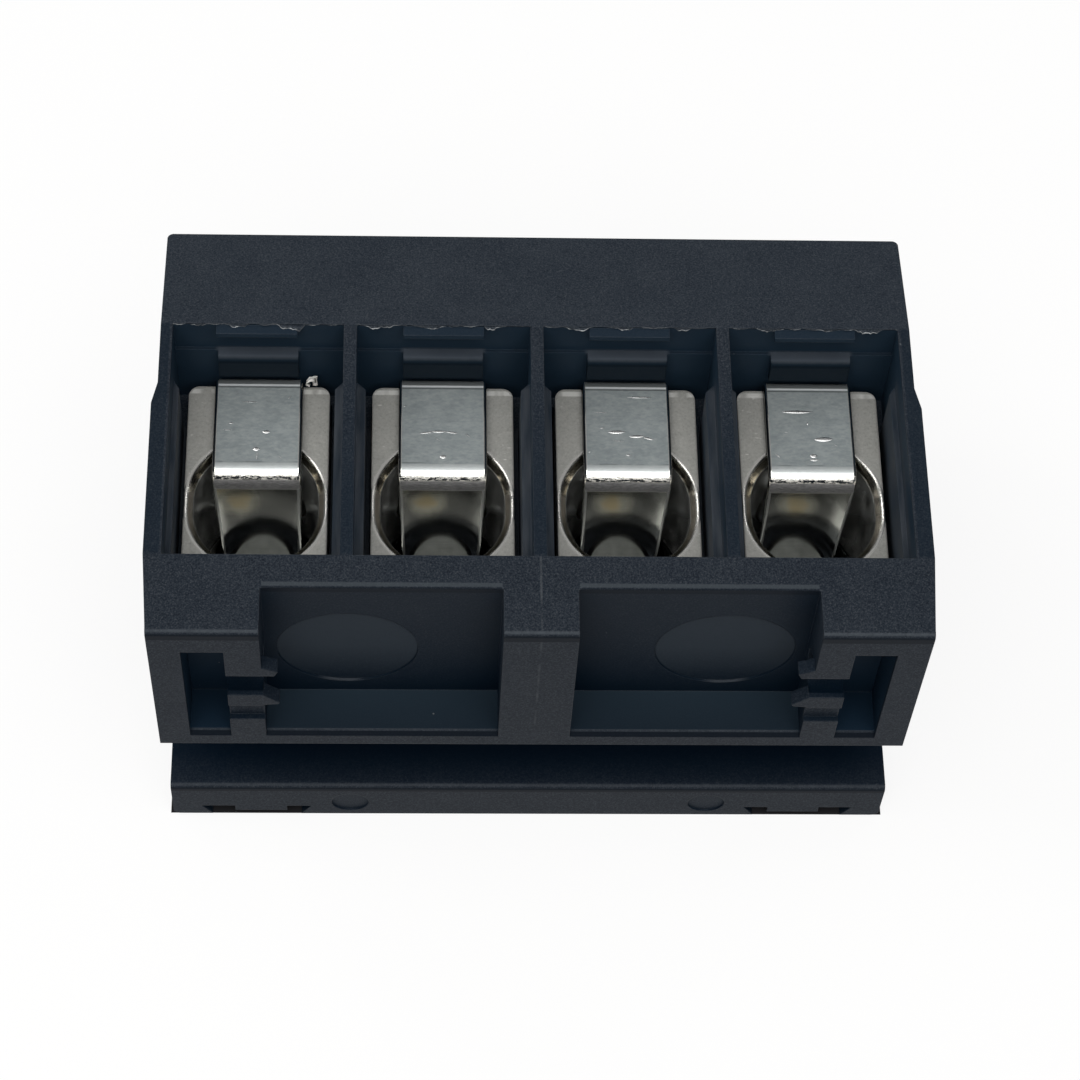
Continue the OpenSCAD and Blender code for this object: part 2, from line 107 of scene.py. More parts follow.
class Paint:
    """One material's node tree, with short calls for the nodes that the looks need."""

    RECESS_SAMPLES = 8
    EDGE_SAMPLES = 6

    def __init__(self, name):
        self.material = bpy.data.materials.new(name)
        self.material.use_nodes = True
        self.tree = self.material.node_tree
        self.bsdf = self.tree.nodes["Principled BSDF"]
        self.place = self.add("ShaderNodeTexCoord").outputs["Object"]

    def add(self, kind, **settings):
        """New node of a kind, with its settings."""
        node = self.tree.nodes.new(kind)
        for key, value in settings.items():
            setattr(node, key, value)
        return node

    def feed(self, socket, value):
        """Links an output to the socket, or sets the socket to a constant."""
        if isinstance(value, bpy.types.NodeSocket):
            self.tree.links.new(value, socket)
        else:
            socket.default_value = value

    def set(self, **inputs):
        """Feeds the shader's inputs; an underscore stands for a space."""
        for key, value in inputs.items():
            self.feed(self.bsdf.inputs[key.replace("_", " ")], value)

    def math(self, operation, a, b=0.0):
        """Result of a math node on one or two values."""
        node = self.add("ShaderNodeMath", operation=operation)
        for socket, value in zip(node.inputs, (a, b)):
            self.feed(socket, value)
        return node.outputs[0]

    def fold(self, operation, first, *others):
        """Joins values one after the other by a math operation."""
        for other in others:
            first = self.math(operation, first, other)
        return first

    def times(self, *values):
        """Product of masks and numbers."""
        return self.fold("MULTIPLY", *values)

    def plus(self, *values):
        """Sum of values."""
        return self.fold("ADD", *values)

    def most(self, *values):
        """Largest of several values."""
        return self.fold("MAXIMUM", *values)

    def minus(self, a, b):
        """a less b."""
        return self.math("SUBTRACT", a, b)

    def ratio(self, a, b):
        """a divided by b."""
        return self.math("DIVIDE", a, b)

    def unsigned(self, value):
        """Value without its sign."""
        return self.math("ABSOLUTE", value)

    def square(self, value):
        """Value times itself."""
        return self.math("POWER", value, 2.0)

    def distance(self, a, b):
        """Distance of a point that is a away along one axis and b along another."""
        return self.math("SQRT", self.plus(self.square(a), self.square(b)))

    def stretched(self, scale):
        """Object coordinates in millimetres, multiplied by scale along each axis."""
        node = self.add("ShaderNodeVectorMath", operation="MULTIPLY")
        self.feed(node.inputs[0], self.place)
        node.inputs[1].default_value = [s / MM for s in scale]
        return node.outputs[0]

    def axes(self):
        """X, Y and Z in millimetres."""
        node = self.add("ShaderNodeSeparateXYZ")
        self.feed(node.inputs[0], self.stretched((1, 1, 1)))
        return node.outputs

    def off_pole(self, x):
        """Distance from the middle of the nearest pole, negative at its left."""
        along = self.plus(self.ratio(x, PITCH), len(POLES) / 2)
        return self.times(self.minus(self.math("FRACT", along), 0.5), PITCH)

    def noise(self, scale, detail=2.0, roughness=0.5):
        """Noise from 0 to 1 with about one feature per 1 / scale millimetres; scale may differ per axis."""
        scale = (scale,) * 3 if isinstance(scale, (int, float)) else scale
        node = self.add("ShaderNodeTexNoise")
        self.feed(node.inputs["Vector"], self.stretched(scale))
        self.feed(node.inputs["Scale"], 1.0)
        self.feed(node.inputs["Detail"], detail)
        self.feed(node.inputs["Roughness"], roughness)
        return node.outputs["Fac"]

    def ramp(self, value, low, high):
        """0 at low, 1 at high and straight between them; the ends hold beyond, and low may be the larger."""
        node = self.add("ShaderNodeMapRange", clamp=True)
        self.feed(node.inputs["Value"], value)
        node.inputs["From Min"].default_value = low
        node.inputs["From Max"].default_value = high
        return node.outputs[0]

    def upward(self, value, low, soft):
        """1 from low upward, falling to 0 over the width soft below it."""
        return self.ramp(value, low - soft, low)

    def downward(self, value, high, soft):
        """1 from high downward, falling to 0 over the width soft above it."""
        return self.ramp(value, high + soft, high)

    def window(self, value, low, high, soft):
        """1 between low and high, falling to 0 over the width soft outside."""
        return self.times(self.upward(value, low, soft), self.downward(value, high, soft))

    def span(self, value, low, high):
        """Value, from 0 to 1, stretched to run from low to high."""
        node = self.add("ShaderNodeMapRange", clamp=True)
        self.feed(node.inputs["Value"], value)
        node.inputs["To Min"].default_value = low
        node.inputs["To Max"].default_value = high
        return node.outputs[0]

    def mix(self, share, a, b, kind="MIX"):
        """Colour a at share 0 and b at share 1, or the two blended by another kind of mix."""
        node = self.add("ShaderNodeMix", data_type="RGBA", blend_type=kind)
        self.feed(node.inputs[0], share)
        for socket, value in ((node.inputs[6], a), (node.inputs[7], b)):
            self.feed(socket, value if isinstance(value, bpy.types.NodeSocket) else (*value, 1.0))
        return node.outputs[2]

    def cover(self, colour, paint, *masks):
        """Colour with paint laid over it as far as the product of the masks says."""
        return self.mix(self.times(*masks), colour, paint)

    def tinted(self, colour, factors):
        """Colour with each channel multiplied by its factor."""
        return self.mix(1.0, colour, factors, "MULTIPLY")

    def bump(self, height, depth, strength=1.0, normal=None):
        """Normal of a surface whose height, from 0 to 1, is depth millimetres."""
        node = self.add("ShaderNodeBump")
        node.inputs["Distance"].default_value = depth * MM
        node.inputs["Strength"].default_value = strength
        self.feed(node.inputs["Height"], height)
        if normal is not None:
            self.feed(node.inputs["Normal"], normal)
        return node.outputs["Normal"]

    def facing(self, normal, tilt, low, high):
        """1 where the normal leans from +Z toward -Y by tilt degrees, 0 where the cosine off that is low."""
        dot = self.add("ShaderNodeVectorMath", operation="DOT_PRODUCT")
        self.feed(dot.inputs[0], normal)
        lean = math.radians(tilt)
        dot.inputs[1].default_value = (0, -math.sin(lean), math.cos(lean))
        return self.ramp(dot.outputs["Value"], low, high)

    def recessed(self, reach):
        """0 in the open, up to 1 in a recess, by what of the same piece stands within reach millimetres."""
        node = self.add("ShaderNodeAmbientOcclusion", samples=self.RECESS_SAMPLES, only_local=True)
        node.inputs["Distance"].default_value = reach * MM
        return self.minus(1.0, node.outputs["AO"])

    def soft_edges(self, radius):
        """Normal that rounds edges by radius millimetres, and how near an edge is, from 0 to 1."""
        bevel = self.add("ShaderNodeBevel", samples=self.EDGE_SAMPLES)
        bevel.inputs["Radius"].default_value = radius * MM
        dot = self.add("ShaderNodeVectorMath", operation="DOT_PRODUCT")
        self.feed(dot.inputs[0], bevel.outputs[0])
        self.feed(dot.inputs[1], self.add("ShaderNodeNewGeometry").outputs["Normal"])
        near = self.ramp(self.minus(1.0, dot.outputs["Value"]), 0.01, 0.2)
        return bevel.outputs[0], near


# Where the housing's finishes and its painted light and shade lie along an axis, in millimetres: one bound,
# or a pair of (low, high)
BAND_LOW_Z = 19.5
CELLS_X = 20.0
CELLS_Y = (LIP_Y + 0.05, 6.4)
CELLS_Z = (12.0, TOP_Z - 0.15)
LIT_Z = 18.3
WALLS_Z = 17.2
BEHIND_Y = (4.6, 6.6)
BEHIND_Z = (13.5, 17.5)
LEDGES_Z = 18.6
RIDGE_FOOT_Z = 17.0
PARTITIONS_X = 17.0
PARTITIONS_Y = (LIP_Y + 0.15, 6.1)
OUTER_WALL_X = 19.95
RIBS_ASIDE = (3.95, 4.72)
RIBS_Y = (LIP_Y + 0.25, 3.5)
RIBS_Z = (12.0, 20.0)
POCKET_X = (1.9, 14.7)
POCKET_Y = (FRONT_Y + 0.3, MARK_Y)
POCKET_Z = (SILL_Z + 0.07, 21.6)
BRINK_X = (2.05, 14.5)
SLOTS_X = (16.5, 19.4)
SLOTS_Y = (FRONT_Y + 0.3, LIP_Y + 0.25)
SLOTS_Z = (SILL_Z - 0.04, 20.5)
LINE_FOOT_Z = 12.2

# Stretches over which the housing's tones and its painted light and shade change, in millimetres, from the
# first value to the second
PARTITIONS_DARKEN_Y = (4.5, -5.0)
FLOOR_LIGHT_GROWS_Y = (-12.6, -10.4)
GROOVE_DARKENS_Y = (-12.9, -10.8)
MARKS_BRIGHTEN_Z = (11.8, 15.2)
EDGES_BRIGHTEN_Z = (SILL_Z, 14.0)


def housing_places(p):
    """Coordinates, noises and masks that the housing's finishes and its painted light and shade share."""
    x, y, z = p.axes()
    at = SimpleNamespace(y=y, z=z)
    # distances from the housing's middle and from the nearest pole's middle
    at.out = p.unsigned(x)
    at.aside = p.unsigned(p.off_pole(x))
    at.grain = p.noise(11.0, 3.0, 0.8)
    at.cloud = p.noise(0.45, 4.0, 0.6)
    at.normal, at.edge = p.soft_edges(0.1)
    at.up = p.facing(at.normal, 0, 0.80, 0.95)
    # how recessed a place is, which sets how much painted shade it gets
    at.deep = p.ramp(p.recessed(6.0), 0.04, 0.62)
    at.cells = p.times(
        p.window(y, *CELLS_Y, 0.1),
        p.window(z, *CELLS_Z, 0.1),
        p.downward(at.out, CELLS_X, 0.05),
    )
    # what faces up low in the cells, which gets painted light
    at.lit = p.times(at.up, at.cells, p.downward(z, LIT_Z, 0.1))
    at.pocket = p.window(at.out, *POCKET_X, 0.05)
    at.brink = p.window(at.out, *BRINK_X, 0.05)
    return at


def moulded_colour(p, at):
    """Blue-black plastic with a fine grain, and a painted sheen that makes the upward faces of the sloping
    band behind the mouths paler.
    """
    colour = p.mix(p.ramp(at.cloud, 0.3, 0.7), (0.0158, 0.0213, 0.0300), (0.0212, 0.0272, 0.0364))
    # painted sheen: the band's upward faces are paler than the rest
    band = p.times(p.upward(at.y, BAND_Y, 0.04), p.upward(at.z, BAND_LOW_Z, 0.05), at.up)
    colour = p.cover(colour, p.tinted(colour, (1.33, 1.30, 1.26)), band, 0.9)
    colour = p.mix(p.ramp(at.grain, 0.30, 0.52), p.tinted(colour, (0.30, 0.34, 0.40)), colour)
    return p.cover(colour, (0.060, 0.068, 0.078), p.ramp(at.grain, 0.52, 0.72), 0.85)


def cell_painted_light_and_shade(p, at, colour):
    """Painted shade that makes recesses darker and bluer, painted light on what faces up in the cells and on
    the cells' bluer walls, and painted shade on the ledges and the ridge's face.
    """
    plain = colour
    # painted shade: recesses are darker and bluer the more they are enclosed
    colour = p.cover(colour, (0.0009, 0.0066, 0.0150), at.deep, 0.88)
    # painted light: what faces up low in the cells is paler
    colour = p.cover(colour, p.tinted(plain, (1.25, 1.28, 1.30)), at.lit)
    # painted light: the cells' upper and back walls get a bluer tone, lighter than the painted shade
    behind = p.times(p.window(at.y, *BEHIND_Y, 0.3), p.window(at.z, *BEHIND_Z, 0.3))
    walls = p.times(p.minus(at.cells, at.lit), p.most(p.upward(at.z, WALLS_Z, 0.6), behind))
    colour = p.cover(colour, (0.0165, 0.0335, 0.0550), walls, 0.8)
    # painted shade on the ledges and tabs that face up under the mouth, and on the ridge's face
    ledges = p.times(at.up, at.cells, p.upward(at.z, LEDGES_Z, 0.1))
    colour = p.cover(colour, (0.0088, 0.0152, 0.0240), ledges, 0.85)
    ridge_face = p.times(
        p.downward(at.aside, RIDGE_HALF + 0.05, 0.04),
        p.window(at.y, RIDGE_Y - 0.4, RIDGE_Y + 0.22, 0.06),
        p.window(at.z, RIDGE_FOOT_Z, RIDGE_Z + 0.02, 0.04),
    )
    return p.cover(colour, (0.0040, 0.0095, 0.0160), ridge_face, 0.9)


def partition_tones(p, at, colour):
    """Partitions that grow darker toward the front, dark outer walls, and guide ribs paler in streaks."""
    along = p.window(at.y, *PARTITIONS_Y, 0.2)
    partitions = p.times(
        p.upward(at.aside, CELL_HALF + 0.01, 0.05),
        p.upward(at.z, TOP_Z - 0.7, 0.1),
        along,
        p.ramp(at.y, *PARTITIONS_DARKEN_Y),
        p.downward(at.out, PARTITIONS_X, 0.5),
    )
    outer = p.times(p.upward(at.out, OUTER_WALL_X, 0.05), p.upward(at.z, TOP_Z - 0.1, 0.05), along)
    colour = p.cover(colour, (0.004, 0.010, 0.018), p.most(partitions, outer), 0.55)
    # guide ribs paler in streaks
    ribs = p.times(
        p.window(at.aside, *RIBS_ASIDE, 0.04),
        p.window(at.y, *RIBS_Y, 0.5),
        p.window(at.z, *RIBS_Z, 0.5),
        at.cells,
        p.span(p.ramp(p.noise((2.5, 0.3, 0.3), 3.0), 0.32, 0.68), 0.25, 1.0),
    )
    return p.cover(colour, (0.050, 0.058, 0.070), ribs)


def pocket_painted_light_and_shade(p, at, colour):
    """Painted shade on the backs of the pockets with a painted highlight along their upper edge, bluer
    pocket floors with painted light that grows toward their backs, and dark bluish painted shade in the
    slots and on the flange's groove.
    """
    # painted shade: the pockets' backs are darker
    plate = p.times(
        p.window(at.y, MARK_Y - 0.15, MARK_Y + 0.4, 0.05),
        at.pocket,
        p.window(at.z, *POCKET_Z, 0.05),
    )
    colour = p.cover(colour, (0.0020, 0.0075, 0.0155), plate, 0.58)
    # painted highlight: a pale line along the pockets' upper edge
    crest = p.times(
        p.window(at.y, MARK_Y + 0.16, MARK_Y + 0.34, 0.06),
        p.upward(at.z, TOP_Z - 0.04, 0.02),
        at.brink,
    )
    colour = p.cover(colour, (0.052, 0.062, 0.072), crest, 0.65)
    # pocket floors are bluer, with painted light that grows toward their backs
    ground = p.times(
        at.up,
        at.pocket,
        p.window(at.z, SILL_Z - 0.04, SILL_Z + 0.06, 0.02),
        p.window(at.y, *POCKET_Y, 0.05),
    )
    floor_painted_light = p.mix(p.ramp(at.y, *FLOOR_LIGHT_GROWS_Y), (0.0112, 0.0198, 0.0300), (0.0178, 0.0300, 0.0425))
    colour = p.cover(colour, floor_painted_light, ground, 0.8)
    # painted shade: the slots' recesses are dark and bluish
    slots = p.times(
        p.window(at.out, *SLOTS_X, 0.02),
        p.window(at.y, *SLOTS_Y, 0.05),
        p.window(at.z, *SLOTS_Z, 0.05),
    )
    colour = p.cover(colour, (0.0090, 0.0215, 0.0390), slots, at.deep, 0.8)
    # painted shade: the flange's top under the front is dark, darkest toward the back
    groove = p.times(
        p.downward(at.y, GROOVE_Y - 0.05, 0.05),
        p.window(at.z, FLANGE_Z - 0.05, FLANGE_Z + 0.1, 0.02),
        at.up,
        p.span(p.ramp(at.y, *GROOVE_DARKENS_Y), 0.35, 0.78),
    )
    return p.cover(colour, (0.0008, 0.0058, 0.0140), groove)


def ridge_painted_highlight(p, at, colour):
    """Painted highlight along the front of the ridge that the guard's hook lies under."""
    bar = p.times(
        p.downward(at.aside, RIDGE_HALF - 0.05, 0.25),
        p.window(at.y, RIDGE_Y + 0.30, RIDGE_Y + 0.78, 0.16),
        p.window(at.z, RIDGE_Z - 0.12, RIDGE_Z + 0.1, 0.04),
        p.span(at.cloud, 0.55, 1.0),
    )
    # painted highlight: a pale bar along the ridge's front
    return p.cover(colour, (0.052, 0.062, 0.077), bar)


def ejector_marks(p, at, colour):
    """Colour with the duller, paler discs in the pockets and on the flange, a painted highlight and painted
    shade on the pocket discs' rims, and the mask of these discs.
    """
    beside = p.minus(at.out, MARK_X)
    mark = p.distance(beside, p.minus(at.z, MARK_Z))
    level = p.window(at.y, MARK_Y - 0.1, MARK_Y + 0.3, 0.05)
    fading = p.span(p.ramp(at.z, *MARKS_BRIGHTEN_Z), 0.12, 1.0)
    disc = p.times(p.downward(mark, MARK_R - 0.06, 0.05), level, fading)
    low_mark = p.distance(beside, p.minus(at.z, FLANGE_MARK_Z))
    front = p.downward(at.y, FRONT_Y + 0.4, 0.05)
    low_disc = p.times(p.downward(low_mark, FLANGE_MARK_R - 0.07, 0.08), front)
    marks = p.most(disc, p.times(low_disc, 0.3))
    colour = p.cover(colour, (0.035, 0.045, 0.057), marks, 0.66)
    # painted highlight on the pocket disc's rim at its foot, and painted shade in places above
    rim = p.times(p.window(mark, MARK_R - 0.05, MARK_R + 0.05, 0.04), level)
    rim_painted_highlight = p.times(rim, p.downward(at.z, MARK_Z - 1.2, 0.6), p.window(beside, -0.2, 1.0, 0.7))
    colour = p.cover(colour, (0.09, 0.10, 0.115), rim_painted_highlight, 0.35)
    rim_painted_shade = p.times(rim, p.upward(at.z, MARK_Z + 1.0, 0.8), p.ramp(p.noise(0.7, 2.0), 0.42, 0.6))
    return p.cover(colour, (0.002, 0.005, 0.010), rim_painted_shade, 0.7), marks


def parting_line(p, at, colour):
    """Parting line of the mould down the middle of the front."""
    line = p.times(
        p.downward(at.out, 0.03, 0.05),
        p.downward(at.y, LIP_Y - 0.05, 0.05),
        p.upward(at.z, LINE_FOOT_Z, 1.0),
        p.ramp(p.noise((0.1, 0.9, 0.9), 2.0), 0.36, 0.62),
    )
    return p.cover(colour, (0.075, 0.083, 0.092), line, 0.5)


def edge_painted_light_and_shade(p, at, colour):
    """Painted highlights on edges, patchy and palest where they face up and forward, with painted shade in
    dark lines below.
    """
    patchy = p.span(p.ramp(p.noise(1.6, 3.0, 0.65), 0.3, 0.7), 0.45, 1.0)
    patchy = p.times(patchy, p.minus(1.0, p.times(at.cells, 0.72)))
    # painted highlight: edges are paler in patches, least in recesses
    edge_painted_highlight = p.times(at.edge, p.span(patchy, 0.0, 0.26), p.minus(1.0, at.deep))
    colour = p.cover(colour, (0.095, 0.105, 0.116), edge_painted_highlight)
    # painted shade: dark where an edge leans far toward the front
    shade = p.facing(at.normal, 72, 0.975, 0.995)
    colour = p.cover(colour, (0.004, 0.007, 0.011), shade, 0.65)
    raised = p.span(p.ramp(at.z, *EDGES_BRIGHTEN_Z), 0.55, 1.0)
    # painted highlight: edges that face up and forward are paler, less so low down
    shine = p.times(p.facing(at.normal, 32, 0.955, 0.99), patchy, raised)
    colour = p.cover(colour, (0.058, 0.068, 0.080), shine, 0.85)
    # painted shade: dark lines below the upper edges of front, flange and pockets' backs, and in the sills'
    # chamfers
    front_line = p.window(at.z, TOP_Z - 0.72, TOP_Z - 0.30, 0.10)
    flange_line = p.window(at.z, FLANGE_Z - 0.52, FLANGE_Z - 0.3, 0.1)
    front = p.times(p.most(front_line, flange_line), p.downward(at.y, FRONT_Y + 0.04, 0.02))
    brow = p.times(
        p.window(at.y, MARK_Y - 0.15, MARK_Y + 0.06, 0.03),
        p.upward(at.z, TOP_Z - 0.36, 0.10),
        at.brink,
        0.8,
    )
    sill = p.times(
        p.window(at.z, SILL_Z - 0.29, SILL_Z - 0.10, 0.02),
        p.window(at.y, FRONT_Y + 0.01, FRONT_Y + 0.31, 0.01),
    )
    return p.cover(colour, (0.0018, 0.0045, 0.0090), p.most(front, brow, sill), 0.9)


def housing_plastic():
    """Blue-black satin moulding: fine grain, painted light and shade in its recesses and on its edges,
    ejector marks, centre parting line and dust.
    """
    p = Paint("housing_plastic")
    at = housing_places(p)
    colour = moulded_colour(p, at)
    for tones in (cell_painted_light_and_shade, partition_tones, pocket_painted_light_and_shade, ridge_painted_highlight):
        colour = tones(p, at, colour)
    colour, marks = ejector_marks(p, at, colour)
    colour = parting_line(p, at, colour)
    colour = edge_painted_light_and_shade(p, at, colour)
    dust = p.ramp(p.noise(2.6, 1.0, 0.4), 0.84, 0.87)
    colour = p.cover(colour, (0.16, 0.17, 0.18), dust, 0.6)
    rough = p.plus(p.span(at.grain, 0.44, 0.56), p.times(marks, 0.06))
    p.set(Base_Color=colour, Roughness=rough, Normal=p.bump(at.grain, 0.006, 0.7, at.normal))
    p.set(Specular_IOR_Level=0.055, IOR=1.5)
    return p.material


# Bore's end: the middle of the patch of painted light, its drift along X and stretch along Y, and where the
# painted shade at its front ends
LIGHT_PATCH_X = -0.51
LIGHT_PATCH_DRIFT = 0.054
LIGHT_PATCH_Y = -4.70
LIGHT_PATCH_STRETCH = 1.10
BORE_FRONT_Y = -5.50

# Dark ring round the rivet's seat: how far it reaches at the first pole, and how much further per millimetre
DARK_RING_REACH = 2.72
DARK_RING_GROWTH = 0.018


def bore_tone(p, x, y, z, off):
    """Colour inside the wire bore, and the mask of the patch of painted light at its end."""
    tone = p.mix(p.noise((0.6, 0.6, 1.4), 3.0), (0.40, 0.41, 0.40), (0.63, 0.64, 0.62))
    end = p.window(z, BLOCK_BACK_Z + 0.2, BORE_END + 0.05, 0.02)
    tone = p.cover(tone, (0.38, 0.38, 0.36), end, 0.8)
    # painted light: a golden patch with a ragged outline on the end, and painted shade on the end's front
    aim_x = p.minus(p.minus(off, LIGHT_PATCH_X), p.times(x, LIGHT_PATCH_DRIFT))
    aim_y = p.ratio(p.minus(y, LIGHT_PATCH_Y), LIGHT_PATCH_STRETCH)
    ragged = p.span(p.noise(1.6, 3.0, 0.6), -0.7, 0.7)
    spread = p.plus(p.square(aim_x), p.square(aim_y), ragged)
    painted_light_patch = p.times(p.downward(spread, 0.35, 1.3), end)
    brass = p.mix(p.downward(spread, 0.12, 0.4), (0.95, 0.93, 0.80), (1.0, 0.84, 0.52))
    tone = p.cover(tone, brass, painted_light_patch)
    front = p.times(
        p.downward(y, BORE_FRONT_Y, 0.25),
        p.window(z, BLOCK_BACK_Z + 0.2, BORE_END + 0.6, 0.4),
    )
    tone = p.cover(tone, (0.12, 0.122, 0.115), front, 0.8)
    # a dark ring round the rivet's seat, widest at the right
    from_seat = p.distance(off, p.minus(y, SEAT_Y))
    ring_distance = p.minus(from_seat, p.times(p.minus(x, pole_x(1)), DARK_RING_GROWTH))
    tone = p.cover(tone, (0.03, 0.034, 0.037), p.downward(ring_distance, DARK_RING_REACH, 0.12), end, 0.92)
    return tone, painted_light_patch


# Where the painted highlight on the block's edges grows toward its top, and where painted shadow lies beside
# the guard, in millimetres
BRIGHTER_Y = (3.6, 4.8)
GUARD_SHADOW_ASIDE = (2.0, 2.40)
GUARD_SHADOW_Y = (-1.2, 5.3)


def nickel_block():
    """Dull nickel on brass: fine blasted grain, dents, painted highlights on its edges and near its top,
    painted shadow beside the guard, a bright chamfer and a smoother wire bore with painted light and shade
    at its end.
    """
    p = Paint("nickel_block")
    x, y, z = p.axes()
    off = p.off_pole(x)
    # the bore is a slot with round ends, and away is the distance from its middle line
    beyond = p.minus(p.unsigned(p.minus(y, BORE_Y)), BORE_STRETCH / 2)
    away = p.distance(off, p.most(beyond, 0.0))
    below = p.downward(z, BLOCK_FACE_Z - 0.02, 0.01)
    sink = p.times(p.downward(away, BORE_R + 0.42, 0.03), below)
    bore = p.times(p.downward(away, BORE_R + 0.02, 0.02), below)
    face = p.upward(z, BLOCK_FACE_Z - 0.05, 0.02)
    blasted = p.noise(7.0, 3.0, 0.7)
    brushed = p.noise((1.2, 12.0, 12.0), 3.0, 0.6)
    normal, edge = p.soft_edges(0.16)
    colour = p.mix(p.noise(0.9, 3.0), (0.385, 0.385, 0.364), (0.460, 0.460, 0.434))
    colour = p.cover(colour, (0.60, 0.60, 0.57), p.ramp(blasted, 0.52, 0.72), 0.45)
    colour = p.cover(colour, (0.20, 0.20, 0.185), p.ramp(blasted, 0.46, 0.30), 0.40)
    dents = p.ramp(p.noise((1.5, 4.0, 4.0), 2.0, 0.6), 0.70, 0.76)
    colour = p.cover(colour, (0.80, 0.80, 0.77), dents, 0.7)
    # painted highlights: edges are bright, most at the top, and a bright band runs along the face just below
    # its top
    colour = p.cover(colour, (0.90, 0.89, 0.85), edge, p.span(p.ramp(y, *BRIGHTER_Y), 0.30, 0.95))
    painted_highlight_band = p.times(
        p.window(y, BLOCK_TOP_Y - 0.42, BLOCK_TOP_Y - 0.20, 0.08),
        face,
        p.ramp(p.noise((1.1, 0.2, 0.2), 2.0), 0.34, 0.52),
    )
    colour = p.cover(colour, (0.95, 0.95, 0.92), painted_highlight_band, 0.65)
    # painted shadow along the guard's edges
    guard_painted_shadow = p.times(p.window(p.unsigned(off), *GUARD_SHADOW_ASIDE, 0.05), p.window(y, *GUARD_SHADOW_Y, 0.1), face)
    colour = p.cover(colour, (0.012, 0.014, 0.016), guard_painted_shadow, 0.92)
    # the bore's sunk edge shows brass under a bright rim
    sunk = p.mix(p.noise(2.0, 3.0), (0.50, 0.45, 0.36), (0.72, 0.68, 0.59))
    colour = p.cover(colour, sunk, sink)
    rim = p.times(p.window(away, BORE_R + 0.30, BORE_R + 0.52, 0.03), p.upward(z, BLOCK_FACE_Z - 0.3, 0.02))
    colour = p.cover(colour, (0.88, 0.87, 0.83), rim)
    tone, painted_light_patch = bore_tone(p, x, y, z, off)
    colour = p.cover(colour, tone, bore)
    # the sunk seat of the rivet at the bore's end is black
    seat = p.times(bore, p.window(z, BLOCK_BACK_Z + 0.2, BORE_END - 0.03, 0.01))
    colour = p.cover(colour, (0.015, 0.017, 0.020), seat)
    shiny = p.most(sink, rim)
    rough = p.plus(p.span(shiny, 0.46, 0.15), p.span(brushed, -0.07, 0.07))
    # the bore's walls are stained, and the patch of painted light is dull
    streaks = p.span(p.ramp(p.noise((1.1, 1.1, 0.5), 3.0), 0.35, 0.65), 0.10, 0.40)
    stained = p.times(bore, p.upward(z, BORE_END + 0.3, 0.2), streaks)
    metal = p.minus(p.span(shiny, 0.55, 1.0), p.times(p.most(painted_light_patch, stained), 0.9))
    height = p.plus(p.times(brushed, 0.4), p.times(blasted, 0.9))
    p.set(Base_Color=colour, Metallic=metal, Roughness=rough, Normal=p.bump(height, 0.010, 0.6, normal))
    return p.material


# Where the guard's finishes and its painted light and shade lie along an axis, in millimetres: one bound, or
# a pair of (low, high)
FLAT_FOOT_Y = -0.36
HOOK_TURN_Y = (5.04, 5.08)
HOOK_GLINT_Y = (4.95, 5.03)
HOOK_SHADE_Y = (4.83, 4.88)
BEND_SHADE_Y = (0.00, 0.04)
GLOSS_Y = (-0.40, -0.08)
BEND_Y = -0.56
BEND_Z = (16.95, 17.24)
SCRAPED_Y = -0.7
SCRAPED_Z = (16.22, 16.90)
LEG_TOP_Z = 16.2
SIDES_FOOT_Z = 16.6


